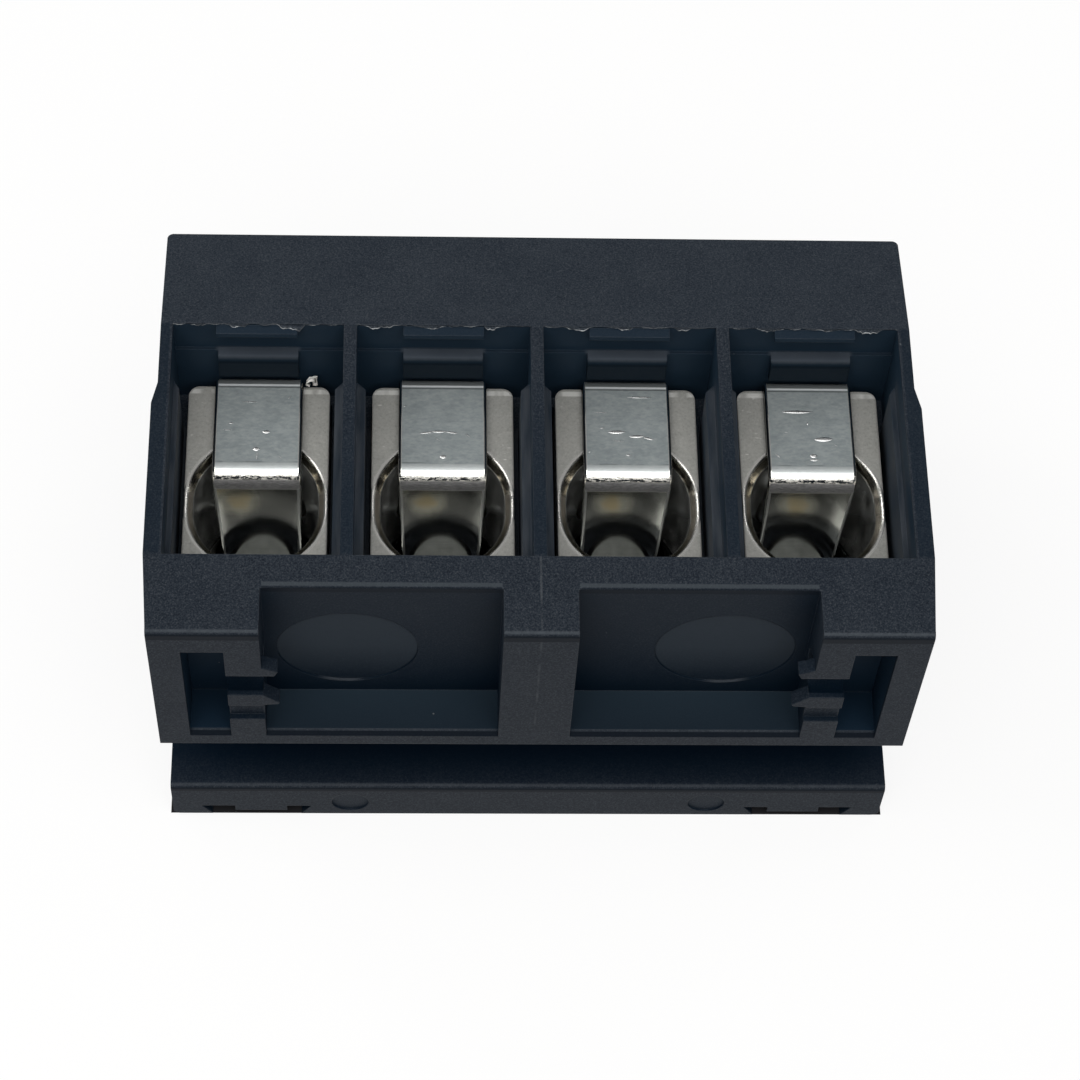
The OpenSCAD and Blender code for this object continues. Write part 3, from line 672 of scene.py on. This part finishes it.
def nickel_leaf():
    """Bright nickel strip: hazy flat face, polished edges and leg, a galled outside of the bend, and painted
    highlights and shade in lines across the face near its turns, along the leg's edges and on its sides.
    """
    p = Paint("nickel_leaf")
    x, y, z = p.axes()
    half = GUARD_W / 2
    # distance from the strip's middle, as if its leg were as wide as its face
    narrowed = p.span(p.ramp(z, GUARD_LEG_Z, TAPER_Z), 1 - LEG_TAPER, 1.0)
    off = p.ratio(p.unsigned(p.off_pole(x)), narrowed)
    rolled = p.noise((0.5, 12.0, 12.0), 3.0, 0.6)
    haze = p.noise((0.9, 1.4, 1.4), 4.0, 0.6)
    galled = p.noise((3.0, 11.0, 11.0), 4.0, 0.7)
    fine = p.noise((3.0, 6.0, 6.0), 2.0, 0.6)
    colour = p.mix(haze, (0.70, 0.70, 0.67), (0.80, 0.80, 0.77))
    # the flat face is cloudy, with finer spots in it
    flat = p.times(
        p.upward(y, FLAT_FOOT_Y, 0.12),
        p.upward(z, GUARD_FACE_Z - 0.4, 0.05),
        p.downward(off, half - 0.19, 0.04),
    )
    face = p.mix(p.ramp(haze, 0.30, 0.70), (0.272, 0.309, 0.319), (0.342, 0.378, 0.384))
    face = p.cover(face, (0.40, 0.43, 0.435), p.ramp(fine, 0.52, 0.70), 0.5)
    face = p.cover(face, (0.22, 0.25, 0.26), p.ramp(fine, 0.48, 0.30), 0.5)
    colour = p.cover(colour, face, flat)
    # painted shade and highlights: lines where the strip turns into the hook, and then where it turns into
    # the bend
    colour = p.cover(colour, (0.15, 0.165, 0.17), flat, p.ramp(y, *HOOK_TURN_Y))
    colour = p.cover(colour, (0.70, 0.73, 0.75), flat, p.window(y, *HOOK_GLINT_Y, 0.03))
    colour = p.cover(colour, (0.08, 0.09, 0.095), flat, p.window(y, *HOOK_SHADE_Y, 0.03), 0.8)
    broken = p.ramp(p.noise((0.8, 0.1, 0.1), 2.0), 0.45, 0.6)
    colour = p.cover(colour, (0.12, 0.13, 0.135), flat, p.window(y, *BEND_SHADE_Y, 0.03), broken, 0.5)
    colour = p.cover(colour, (0.62, 0.64, 0.64), flat, p.window(y, *GLOSS_Y, 0.06), 0.4)
    # the bend's outside is torn
    bend = p.times(p.window(z, *BEND_Z, 0.03), p.downward(y, BEND_Y, 0.04))
    torn = p.times(bend, p.ramp(galled, 0.50, 0.56))
    colour = p.cover(colour, (0.86, 0.84, 0.78), torn)
    # wires have scraped the leg's upper end, in streaks across it
    scraped = p.times(
        p.window(z, *SCRAPED_Z, 0.10),
        p.downward(y, SCRAPED_Y, 0.06),
        p.downward(off, half - 0.10, 0.05),
    )
    scrapes = p.mix(p.ramp(galled, 0.35, 0.65), (0.17, 0.17, 0.175), (0.33, 0.33, 0.335))
    colour = p.cover(colour, scrapes, scraped)
    # thin streaks run across the leg, and painted highlights run along its edges
    leg = p.downward(z, LEG_TOP_Z, 0.2)
    colour = p.cover(colour, (0.40, 0.41, 0.40), leg, p.ramp(rolled, 0.54, 0.66), 0.35)
    painted_highlight_band = p.times(leg, p.window(off, half - 0.20, half - 0.09, 0.03))
    colour = p.cover(colour, (0.34, 0.345, 0.34), painted_highlight_band, 0.8)
    # the sheet's sheared sides are dull and dark, partly their own colour and partly painted shade along the
    # strip's outline
    sides = p.times(p.upward(off, half - 0.05, 0.02), p.upward(z, SIDES_FOOT_Z, 0.2))
    colour = p.cover(colour, (0.05, 0.052, 0.055), sides)
    dull = p.most(flat, torn, scraped)
    rough = p.plus(p.span(haze, 0.08, 0.15), p.times(dull, 0.28))
    metal = p.minus(1.0, p.times(p.most(dull, painted_highlight_band), 0.5))
    height = p.plus(p.times(rolled, 0.5), p.times(galled, bend, 4.0))
    p.set(Base_Color=colour, Metallic=metal, Roughness=rough, Normal=p.bump(height, 0.004, 0.6))
    return p.material


def scuffed_nickel():
    """Burnished scratches that catch the light."""
    p = Paint("scuffed_nickel")
    colour = p.mix(p.noise((2.0, 12.0, 12.0), 2.0), (0.82, 0.83, 0.83), (0.97, 0.97, 0.96))
    p.set(Base_Color=colour, Metallic=1.0, Roughness=p.span(p.noise(8.0), 0.22, 0.36))
    return p.material


def bright_turning():
    """Clean metal of a fresh chip, bright on its outside and stained in its folds."""
    p = Paint("bright_turning")
    stain = p.ramp(p.noise(4.0, 2.0), 0.36, 0.50)
    colour = p.mix(stain, (0.16, 0.15, 0.13), (0.98, 0.97, 0.93))
    p.set(Base_Color=colour, Metallic=0.12, Roughness=p.span(p.noise(9.0), 0.2, 0.35))
    return p.material


def turned_metal(name, dark, light, rough, lines, oiled=None):
    """Metal with so many tool lines per millimetre along each axis, and dark oil above the height oiled."""
    p = Paint(name)
    tool = p.noise(lines, 3.0, 0.6)
    normal, edge = p.soft_edges(0.06)
    colour = p.mix(p.noise(1.3, 3.0), dark, light)
    colour = p.cover(colour, [min(1.0, v * 1.4) for v in light], edge, 0.4)
    if oiled is not None:
        _, _, z = p.axes()
        oil = p.mix(tool, (0.074, 0.078, 0.076), (0.160, 0.168, 0.162))
        colour = p.cover(colour, oil, p.ramp(z, oiled, oiled + 0.1))
    p.set(Base_Color=colour, Metallic=1.0, Roughness=p.span(tool, rough - 0.07, rough + 0.1))
    p.set(Normal=p.bump(tool, 0.006, 0.5, normal))
    return p.material


def whitened_plastic():
    """Torn edge of flash, whitened in places."""
    p = Paint("whitened_plastic")
    white = p.ramp(p.noise(1.3, 3.0, 0.6), 0.46, 0.62)
    colour = p.mix(white, (0.020, 0.026, 0.035), (0.34, 0.36, 0.38))
    p.set(Base_Color=colour, Roughness=p.span(p.noise(9.0), 0.35, 0.55), Specular_IOR_Level=0.4)
    return p.material


# Height above which the contact's rivet is oily
RIVET_OIL_Z = 7.2

PLASTIC = housing_plastic()
BLOCK_METAL = nickel_block()
LEAF_METAL = nickel_leaf()
SCUFF_METAL = scuffed_nickel()
CHIP_METAL = bright_turning()
FLASH_PLASTIC = whitened_plastic()
SCREW_METAL = turned_metal("screw_steel", (0.40, 0.40, 0.41), (0.58, 0.58, 0.58), 0.3, (3.0, 20.0, 3.0))
CONTACT_METAL = turned_metal(
    "contact_alloy", (0.52, 0.41, 0.22), (0.70, 0.58, 0.34), 0.3, (2.0, 2.0, 18.0), RIVET_OIL_Z
)
SPRING_METAL = turned_metal("spring_steel", (0.34, 0.34, 0.36), (0.50, 0.50, 0.52), 0.34, (14.0, 14.0, 2.0))

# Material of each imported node, by its name without the pole's number
NODE_MATERIALS = {
    "housing": PLASTIC,
    "clamp_block": BLOCK_METAL,
    "wire_guard": LEAF_METAL,
    "clamp_screw": SCREW_METAL,
    "socket_contact": CONTACT_METAL,
    "contact_spring": SPRING_METAL,
}
for name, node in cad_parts.items():
    node.data.materials.clear()
    node.data.materials.append(NODE_MATERIALS[name.rstrip("_0123456789")])


def finish_mesh(bm, name, materials, smooth=True):
    """Turns a bmesh in millimetres into an object in metres."""
    bmesh.ops.recalc_face_normals(bm, faces=bm.faces)
    bmesh.ops.scale(bm, vec=(MM, MM, MM), verts=bm.verts)
    mesh = bpy.data.meshes.new(name)
    bm.to_mesh(mesh)
    bm.free()
    for material in materials:
        mesh.materials.append(material)
    for polygon in mesh.polygons:
        polygon.use_smooth = smooth
    piece = bpy.data.objects.new(name, mesh)
    bpy.context.scene.collection.objects.link(piece)
    return piece


def skin(bm, rings, material=0, edge=()):
    """Closed skin over rings of points; faces after the points named in edge have the next material."""
    made = [[bm.verts.new(point) for point in ring] for ring in rings]
    count = len(made[0])
    for a, b in zip(made, made[1:]):
        for k in range(count):
            n = (k + 1) % count
            face = bm.faces.new((a[k], a[n], b[n], b[k]))
            face.material_index = material + 1 if k in edge else material
    for ring in (made[0], made[-1]):
        bm.faces.new(ring).material_index = material
    return made


def arc(cy, cz, r, start, end, steps):
    """(y, z, direction) along an arc; direction is the way the strip runs, in degrees from +Y toward +Z."""
    turn = 1 if end > start else -1
    points = []
    for k in range(steps + 1):
        a = math.radians(start + (end - start) * k / steps)
        points.append((cy + r * math.cos(a), cz + r * math.sin(a), math.degrees(a) + 90 * turn))
    return points


# Slight bow of the guard's leg: its lean off the upright, in degrees, at heights from the bend down
LEG_LEAN = ((16.0, 0.0), (13.6, 2.0), (11.0, 2.0), (GUARD_LEG_Z, -1.0))

# Points along the guard's hook, with their spacing, and steps along the rest and round its rounded edges
HOOK_POINTS = 4
HOOK_SPACING = 0.2
HOOK_BEND_STEPS = 10
FACE_STEPS = 10
LEG_BEND_STEPS = 14
LEG_STEPS = 32
CORNER_STEPS = 6


def leg_lean(z):
    """Lean of the guard's leg at height z, positive where it runs away from the bore's front."""
    for (z0, lean0), (z1, lean1) in zip(LEG_LEAN, LEG_LEAN[1:]):
        if z >= z1:
            return lean0 + (lean1 - lean0) * min(1.0, max(0.0, (z0 - z) / (z0 - z1)))
    return LEG_LEAN[-1][1]


def guard_line():
    """Middle line of the guard's sheet from the hook's end over the face to the leg's end."""
    half = GUARD_SHEET / 2
    hook_r, leg_r = HOOK_BEND + half, LEG_BEND + half
    hook_y, leg_y = GUARD_TOP_Y - half, GUARD_LEG_Y + half
    face_z = GUARD_FACE_Z - half
    line = [(hook_y, GUARD_HOOK_Z + k * HOOK_SPACING, 90.0) for k in range(HOOK_POINTS)]
    line += arc(hook_y - hook_r, face_z - hook_r, hook_r, 0, 90, HOOK_BEND_STEPS)
    start, end = hook_y - hook_r, leg_y + leg_r
    line += [(start + (end - start) * k / FACE_STEPS, face_z, 180.0) for k in range(1, FACE_STEPS)]
    line += arc(leg_y + leg_r, face_z - leg_r, leg_r, 90, 180, LEG_BEND_STEPS)
    top = face_z - leg_r
    y, step = leg_y, (top - GUARD_LEG_Z) / LEG_STEPS
    for k in range(1, LEG_STEPS + 1):
        z = top - step * k
        y += step * math.tan(math.radians(leg_lean(z + step / 2)))
        line.append((y, z, 270.0 + leg_lean(z)))
    return line


def sheet_section(width, thick, corner, steps):
    """Rounded outline of the strip: offsets across its width and through its thickness."""
    points = []
    hold = 0.03
    for sx, sn, first in ((1, 1, 0), (-1, 1, 90), (-1, -1, 180), (1, -1, 270)):
        cx, ct = sx * (width / 2 - corner), sn * (thick / 2 - corner)
        for k in range(steps + 1):
            a = math.radians(first + 90 * k / steps)
            points.append((cx + corner * math.cos(a), ct + corner * math.sin(a)))
        # one more point on the flat keeps its shading straight
        flat = (cx - sx * hold, ct + sn * corner)
        points.insert(len(points) if sx == sn else len(points) - steps - 1, flat)
    return points


# Burnished marks on each guard's face: off its middle, below its top, length, width and lean in degrees
SCUFFS = {
    1: (
        (-0.46, 1.69, 0.88, 0.07, 0), (0.48, 3.63, 0.42, 0.21, 3), (-0.05, 4.73, 0.36, 0.25, 4),
        (-1.64, 3.52, 0.52, 0.06, 0), (-1.46, 3.08, 0.25, 0.10, 5), (1.70, 1.37, 0.20, 0.06, 60),
        (1.26, 5.24, 0.20, 0.06, -40), (0.0, 5.2, 0.5, 0.06, 85),
    ),
    2: (
        (-0.88, 3.60, 0.72, 0.12, 9), (-0.22, 3.53, 0.85, 0.15, 0), (0.48, 3.58, 0.72, 0.12, -8),
        (0.02, 5.15, 0.36, 0.24, 0), (1.38, 3.77, 0.30, 0.06, -45), (-0.30, 4.02, 0.40, 0.05, -35),
        (-2.1, 1.88, 0.15, 0.08, 40),
    ),
    3: (
        (-0.57, 3.47, 0.90, 0.22, 2), (0.54, 3.74, 0.84, 0.19, 3), (1.18, 3.87, 0.58, 0.15, -17),
        (-1.37, 3.21, 0.20, 0.09, 8), (0.05, 4.96, 0.27, 0.12, 0), (0.74, 1.19, 1.35, 0.11, 0),
        (-1.41, 2.2, 0.85, 0.06, 0), (-0.5, 4.05, 0.7, 0.05, -6), (-2.1, 4.78, 0.12, 0.10, 40),
    ),
    4: (
        (-0.65, 2.06, 1.66, 0.20, 0), (0.72, 3.84, 1.00, 0.29, 2), (0.10, 4.92, 0.38, 0.25, 0),
        (0.12, 5.17, 0.46, 0.17, 0), (-0.11, 2.80, 0.22, 0.10, 84), (-1.35, 3.4, 0.20, 0.06, -8),
        (-1.89, 4.92, 0.36, 0.09, -45), (1.36, 4.23, 0.25, 0.05, -25),
    ),
}

# Scuffs: where "below" is counted from, their foot, rise and blunt ends, and the steps along each
SCUFF_TOP_Y = GUARD_TOP_Y - 0.1
SCUFF_FOOT_Z = GUARD_FACE_Z - 0.004
SCUFF_RISE = 0.62
SCUFF_BLUNT = 0.03
SCUFF_STEPS = 8


def scuff(bm, cx, cy, length, wide, lean):
    """A sliver with pointed ends and a raised back on a guard's face."""
    along = Vector((math.cos(math.radians(lean)), math.sin(math.radians(lean)), 0))
    side = Vector((-along.y, along.x, 0))
    middle = Vector((cx, cy, SCUFF_FOOT_Z))
    rings = []
    for k in range(SCUFF_STEPS + 1):
        t = k / SCUFF_STEPS
        inner = min(max(t, SCUFF_BLUNT), 1 - SCUFF_BLUNT)
        half = wide / 2 * math.sin(math.pi * inner) ** 0.6
        point = middle + along * (t - 0.5) * length
        rise = Vector((0, 0, SCUFF_RISE * half))
        rings.append([point - side * half, point + side * half * 0.5 + rise, point + side * half])
    made = skin(bm, rings, material=1)
    # its foot and ends are sharp, so that only its back is shaded round
    for ring in (made[0], made[-1]):
        for k in range(3):
            bm.edges.get((ring[k - 1], ring[k])).smooth = False
    for a, b in zip(made, made[1:]):
        for k in (0, 2):
            bm.edges.get((a[k], b[k])).smooth = False


def wire_guard(i):
    """Bent strip over pole i's clamp block, with its leg in the wire bore."""
    bm = bmesh.new()
    section = sheet_section(GUARD_W, GUARD_SHEET, GUARD_CORNER, CORNER_STEPS)
    rings = []
    for y, z, direction in guard_line():
        a = math.radians(direction + 90)
        ny, nz = -math.cos(a), -math.sin(a)
        # the hook, at positive Y, doesn't narrow
        down = max(0.0, TAPER_Z - z) / (TAPER_Z - GUARD_LEG_Z) if y < 0 else 0.0
        wide = 1 - LEG_TAPER * down
        rings.append([(pole_x(i) + w * wide, y + t * ny, z + t * nz) for w, t in section])
    skin(bm, rings)
    for off, below, length, wide, lean in SCUFFS[i]:
        scuff(bm, pole_x(i) + off, SCUFF_TOP_Y - below, length, wide, lean)
    piece = finish_mesh(bm, "guard_strip_%d" % i, [LEAF_METAL, SCUFF_METAL])
    x, y = pole_x(i) * MM, GUARD_LEG_Y * MM
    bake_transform(piece)
    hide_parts("wire_guard_%d" % i)


# Torn flash along the mouths' upper edge: distance from the pole's middle, width and how far it hangs
TEARS = {
    1: ((-1.0, 1.0, 0.22), (1.9, 1.5, 0.42), (-3.2, 1.2, 0.08)),
    2: ((-3.4, 1.4, 0.2), (2.55, 0.7, 0.22), (-0.3, 2.2, 0.12)),
    3: ((-2.9, 1.4, 0.2), (-0.2, 0.8, 0.16), (2.9, 0.9, 0.18)),
    4: ((2.9, 1.6, 0.2), (0.9, 1.2, 0.12), (-2.2, 1.6, 0.1)),
}

# How much of its hang a tear reaches, how steeply it grows from its ends, and how slack some sections curl
TEAR_REACH = 0.8
TEAR_SLOPE = 2.5
TEAR_SLACK = 0.4

# Section of the flash from its root to its tip: share of how far it hangs, and share of its curl
FLASH_OUTLINE = ((0.0, 0.0), (0.45, 0.25), (0.8, 0.7), (1.0, 1.0))

# Flash: points of a section after which its faces are whitened, its root, and its other sizes in millimetres
FLASH_WHITE = (2, 3, 4)
FLASH_ROOT_Y = BAND_Y + 0.03
FLASH_ROOT_Z = TOP_Z - 0.02
FLASH_STEP = 0.11
FLASH_THICK = 0.05
FLASH_HANG = 0.05
FLASH_LEAST = 0.02
FLASH_CURL = 0.12
FLASH_WAVES = 6
FLASH_SEED = 70


def flash_ring(x, hang, curl):
    """Section of the flash at x: its upper side from the root to the tip, then its lower side back."""
    upper, lower = [], []
    for share, bow in FLASH_OUTLINE:
        y = FLASH_ROOT_Y - hang * share
        z = FLASH_ROOT_Z - FLASH_CURL * curl * bow
        upper.append((x, y, z))
        lower.append((x, y, z - FLASH_THICK * (1.1 - share)))
    return upper + lower[::-1]


def flash_strip(i):
    """Ragged lip of torn flash along the upper edge of cell i's mouth."""
    rng = random.Random(FLASH_SEED + i)
    waves = []
    for _ in range(FLASH_WAVES):
        waves.append((rng.uniform(1.5, 7.0), rng.uniform(0, 6.28), rng.uniform(0.01, 0.035)))
    count = int(2 * CELL_HALF / FLASH_STEP)
    rings = []
    for k in range(count + 1):
        off = -CELL_HALF + 2 * CELL_HALF * k / count
        hang = FLASH_HANG + sum(size * math.sin(rate * off + shift) for rate, shift, size in waves)
        hang += rng.uniform(-0.015, 0.02)
        curl = 0.0
        for middle, width, most in TEARS[i]:
            t = 1 - abs(off - middle) / (width / 2)
            if t > 0:
                torn = min(1.0, TEAR_SLOPE * t)
                hang += TEAR_REACH * most * torn * rng.uniform(0.75, 1.1)
                curl += torn
        # every third section curls less, which makes the tear ragged
        curl = min(curl, 1.0) * (1 if k % 3 else TEAR_SLACK)
        rings.append(flash_ring(pole_x(i) + off, max(hang, FLASH_LEAST), curl))
    bm = bmesh.new()
    skin(bm, rings, edge=FLASH_WHITE)
    piece = finish_mesh(bm, "mouth_flash_%d" % i, [PLASTIC, FLASH_PLASTIC])
    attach(piece, "housing")


# Metal chip: its place, its curl in degrees, its ribbon in millimetres, and the share where its tail begins
CHIP_AT = (pole_x(1) + 2.85, BLOCK_TOP_Y - 0.02, BLOCK_FACE_Z + 0.42)
CHIP_START = 250
CHIP_SWEEP = 430
CHIP_R = 0.20
CHIP_GROWTH = 0.20
CHIP_HALF = 0.23
CHIP_THICK = 0.022
CHIP_DRIFT = 0.30
CHIP_TWIST = 0.35
CHIP_TAIL = 0.72
CHIP_TAIL_OUT = 0.55
CHIP_TAIL_DROP = 0.10
CHIP_STEPS = 36
CHIP_SEED = 11


def metal_chip():
    """Curled turning left beside the hook of the first guard: a ribbon with a rolled end and a torn tail."""
    cx, cy, cz = CHIP_AT
    rng = random.Random(CHIP_SEED)
    rings = []
    for k in range(CHIP_STEPS + 1):
        t = k / CHIP_STEPS
        a = math.radians(CHIP_START - CHIP_SWEEP * t)
        r = CHIP_R + CHIP_GROWTH * t
        tail = max(0.0, t - CHIP_TAIL) / (1 - CHIP_TAIL)
        x = cx + r * math.cos(a) + CHIP_TAIL_OUT * tail
        y = cy + CHIP_DRIFT * t
        z = cz + r * math.sin(a) - CHIP_TAIL_DROP * tail
        middle = Vector((x, y, z))
        half = CHIP_HALF * (0.55 + 0.45 * math.sin(math.pi * min(max(t, 0.05), 0.97)))
        half += rng.uniform(-0.02, 0.02)
        across = Vector((CHIP_TWIST * math.sin(3 * a), 0.85, CHIP_TWIST * math.cos(2 * a)))
        across = across.normalized() * half
        out = Vector((math.cos(a), 0, math.sin(a))) * CHIP_THICK
        rings.append([middle - across, middle + out, middle + across, middle - out])
    bm = bmesh.new()
    skin(bm, rings)
    piece = finish_mesh(bm, "metal_chip", [CHIP_METAL], smooth=False)
    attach(piece, "housing")


for pole in POLES:
    wire_guard(pole)
for pole in POLES:
    flash_strip(pole)
metal_chip()


def seen_white(tree):
    """1 for rays from the camera, from gloss and through glass, which see the studio as white."""
    path = tree.nodes.new("ShaderNodeLightPath")
    top = path.outputs["Is Camera Ray"]
    for name in ("Is Glossy Ray", "Is Transmission Ray"):
        most = tree.nodes.new("ShaderNodeMath")
        most.operation = "MAXIMUM"
        tree.links.new(top, most.inputs[0])
        tree.links.new(path.outputs[name], most.inputs[1])
        top = most.outputs[0]
    return top


# Floor, in millimetres: half its side, and half the block's foot, under which it doesn't glow and is painted
# dark as shadow
FLOOR_HALF = 3000
FOOT_X = 20.4
FOOT_Y = 12.93

# Share of plain white in what the camera sees of the floor; the rest shows the object's shadow
FLOOR_GLOW = 0.85


def soft_floor():
    """Pale floor that the camera and reflections see as white, with the object's shadow left in and a
    painted shadow under the object.
    """
    bm = bmesh.new()
    bmesh.ops.create_grid(bm, x_segments=4, y_segments=4, size=FLOOR_HALF)
    piece = finish_mesh(bm, "floor", [], smooth=False)
    p = Paint("pale_floor")
    seen = seen_white(p.tree)
    shade = p.mix(p.noise(0.02, 2.0), (0.90, 0.90, 0.90), (0.93, 0.93, 0.93))
    # painted shadow: under the object the floor is dark and nothing glows, so that its gaps stay dark
    x, y, _ = p.axes()
    foot = p.times(p.downward(p.unsigned(x), FOOT_X, 0.03), p.downward(p.unsigned(y), FOOT_Y, 0.03))
    shade = p.cover(shade, (0.02, 0.02, 0.022), foot)
    p.set(Base_Color=p.mix(seen, (0.35, 0.35, 0.36), shade), Roughness=0.9, Specular_IOR_Level=0.0)
    glow = p.add("ShaderNodeEmission")
    p.feed(glow.inputs["Color"], (1, 1, 1, 1))
    p.feed(glow.inputs["Strength"], 1.0)
    both = p.add("ShaderNodeMixShader")
    p.feed(both.inputs[0], p.times(seen, p.minus(1.0, foot), FLOOR_GLOW))
    p.feed(both.inputs[1], p.bsdf.outputs[0])
    p.feed(both.inputs[2], glow.outputs[0])
    p.feed(p.tree.nodes["Material Output"].inputs["Surface"], both.outputs[0])
    piece.data.materials.append(p.material)


# Brightness of the studio at a height from the horizon, 0, to overhead, 1: as it is seen, and as it lights
SKY_SEEN = ((0.0, 1.0), (0.15, 0.92), (0.35, 0.45), (0.6, 0.30), (0.87, 0.30), (1.0, 0.40))
SKY_LIGHT = ((0.0, 0.10), (0.3, 0.14), (0.6, 0.28), (1.0, 0.40))


def studio_world():
    """White near the horizon where it is seen, greyer overhead, and a weak fill light."""
    world = bpy.data.worlds.new("studio")
    bpy.context.scene.world = world
    world.use_nodes = True
    nodes, links = world.node_tree.nodes, world.node_tree.links
    split = nodes.new("ShaderNodeSeparateXYZ")
    links.new(nodes.new("ShaderNodeTexCoord").outputs["Generated"], split.inputs[0])
    mix = nodes.new("ShaderNodeMix")
    mix.data_type = "RGBA"
    links.new(seen_white(world.node_tree), mix.inputs[0])
    for socket, stops in ((mix.inputs[6], SKY_LIGHT), (mix.inputs[7], SKY_SEEN)):
        ramp = nodes.new("ShaderNodeValToRGB")
        links.new(split.outputs["Z"], ramp.inputs[0])
        ramp.color_ramp.elements[0].position = stops[0][0]
        ramp.color_ramp.elements[-1].position = stops[-1][0]
        for position, _ in stops[1:-1]:
            ramp.color_ramp.elements.new(position)
        for element, (_, level) in zip(ramp.color_ramp.elements, stops):
            element.color = (level, level, level, 1)
        links.new(ramp.outputs[0], socket)
    links.new(mix.outputs[2], nodes["Background"].inputs["Color"])


# Lamps: name, place and size in millimetres, power in watts and colour; all face a point over the origin
SOFTBOXES = (
    ("front_softbox", (0, -215, 440), (560, 480), 2.2, (1.0, 0.99, 0.97)),
    ("left_softbox", (-330, 40, 330), (160, 260), 0.45, (1.0, 0.99, 0.96)),
    ("left_window", (-245, 200, 245), (70, 70), 0.09, (1.0, 0.99, 0.97)),
    ("right_window", (245, 200, 245), (70, 70), 0.05, (1.0, 0.99, 0.97)),
)
LAMPS_AIM_Z = 12


def softbox(name, at, size, power, colour):
    """Rectangular area lamp that faces the object."""
    lamp = bpy.data.lights.new(name, "AREA")
    lamp.shape = "RECTANGLE"
    lamp.size, lamp.size_y = size[0] * MM, size[1] * MM
    lamp.energy = power
    lamp.color = colour
    holder = bpy.data.objects.new(name, lamp)
    holder.location = Vector(at) * MM
    holder.rotation_mode = "QUATERNION"
    aim = Vector((0, 0, LAMPS_AIM_Z * MM)) - holder.location
    holder.rotation_quaternion = aim.to_track_quat("-Z", "Y")
    bpy.context.scene.collection.objects.link(holder)


# Camera fitted to the photograph's corners, with the picture's middle on the lens axis
FOCAL_PX = 3141.12
PHOTO_PX = 1080
ELEVATION, YAW, ROLL = 59.9263, -4.6682, 4.4104
CAMERA_AT = (-6.7477, -89.5563, 164.2443)
SENSOR = 36.0

# Nearest and furthest distance that the camera sees, in metres
CLIP_NEAR, CLIP_FAR = 0.01, 20


def photo_camera():
    """Camera at the photograph's place, with its angles in degrees and its focal length in pixels."""
    elevation, yaw, roll = (math.radians(angle) for angle in (ELEVATION, YAW, ROLL))
    turn = Matrix.Rotation(yaw, 3, "Z")
    forward = turn @ Vector((0, math.cos(elevation), -math.sin(elevation)))
    level = turn @ Vector((1, 0, 0))
    upright = turn @ Vector((0, math.sin(elevation), math.cos(elevation)))
    right = level * math.cos(roll) + upright * math.sin(roll)
    up = upright * math.cos(roll) - level * math.sin(roll)
    lens = bpy.data.cameras.new("photo_camera")
    lens.sensor_width = SENSOR
    lens.lens = SENSOR * FOCAL_PX / PHOTO_PX
    lens.clip_start, lens.clip_end = CLIP_NEAR, CLIP_FAR
    holder = bpy.data.objects.new("photo_camera", lens)
    axes = Matrix((right, up, -forward)).transposed().to_4x4()
    holder.matrix_world = Matrix.Translation(Vector(CAMERA_AT) * MM) @ axes
    bpy.context.scene.collection.objects.link(holder)
    bpy.context.scene.camera = holder


soft_floor()
studio_world()
for settings in SOFTBOXES:
    softbox(*settings)
photo_camera()
bpy.context.scene.view_settings.view_transform = "Standard"
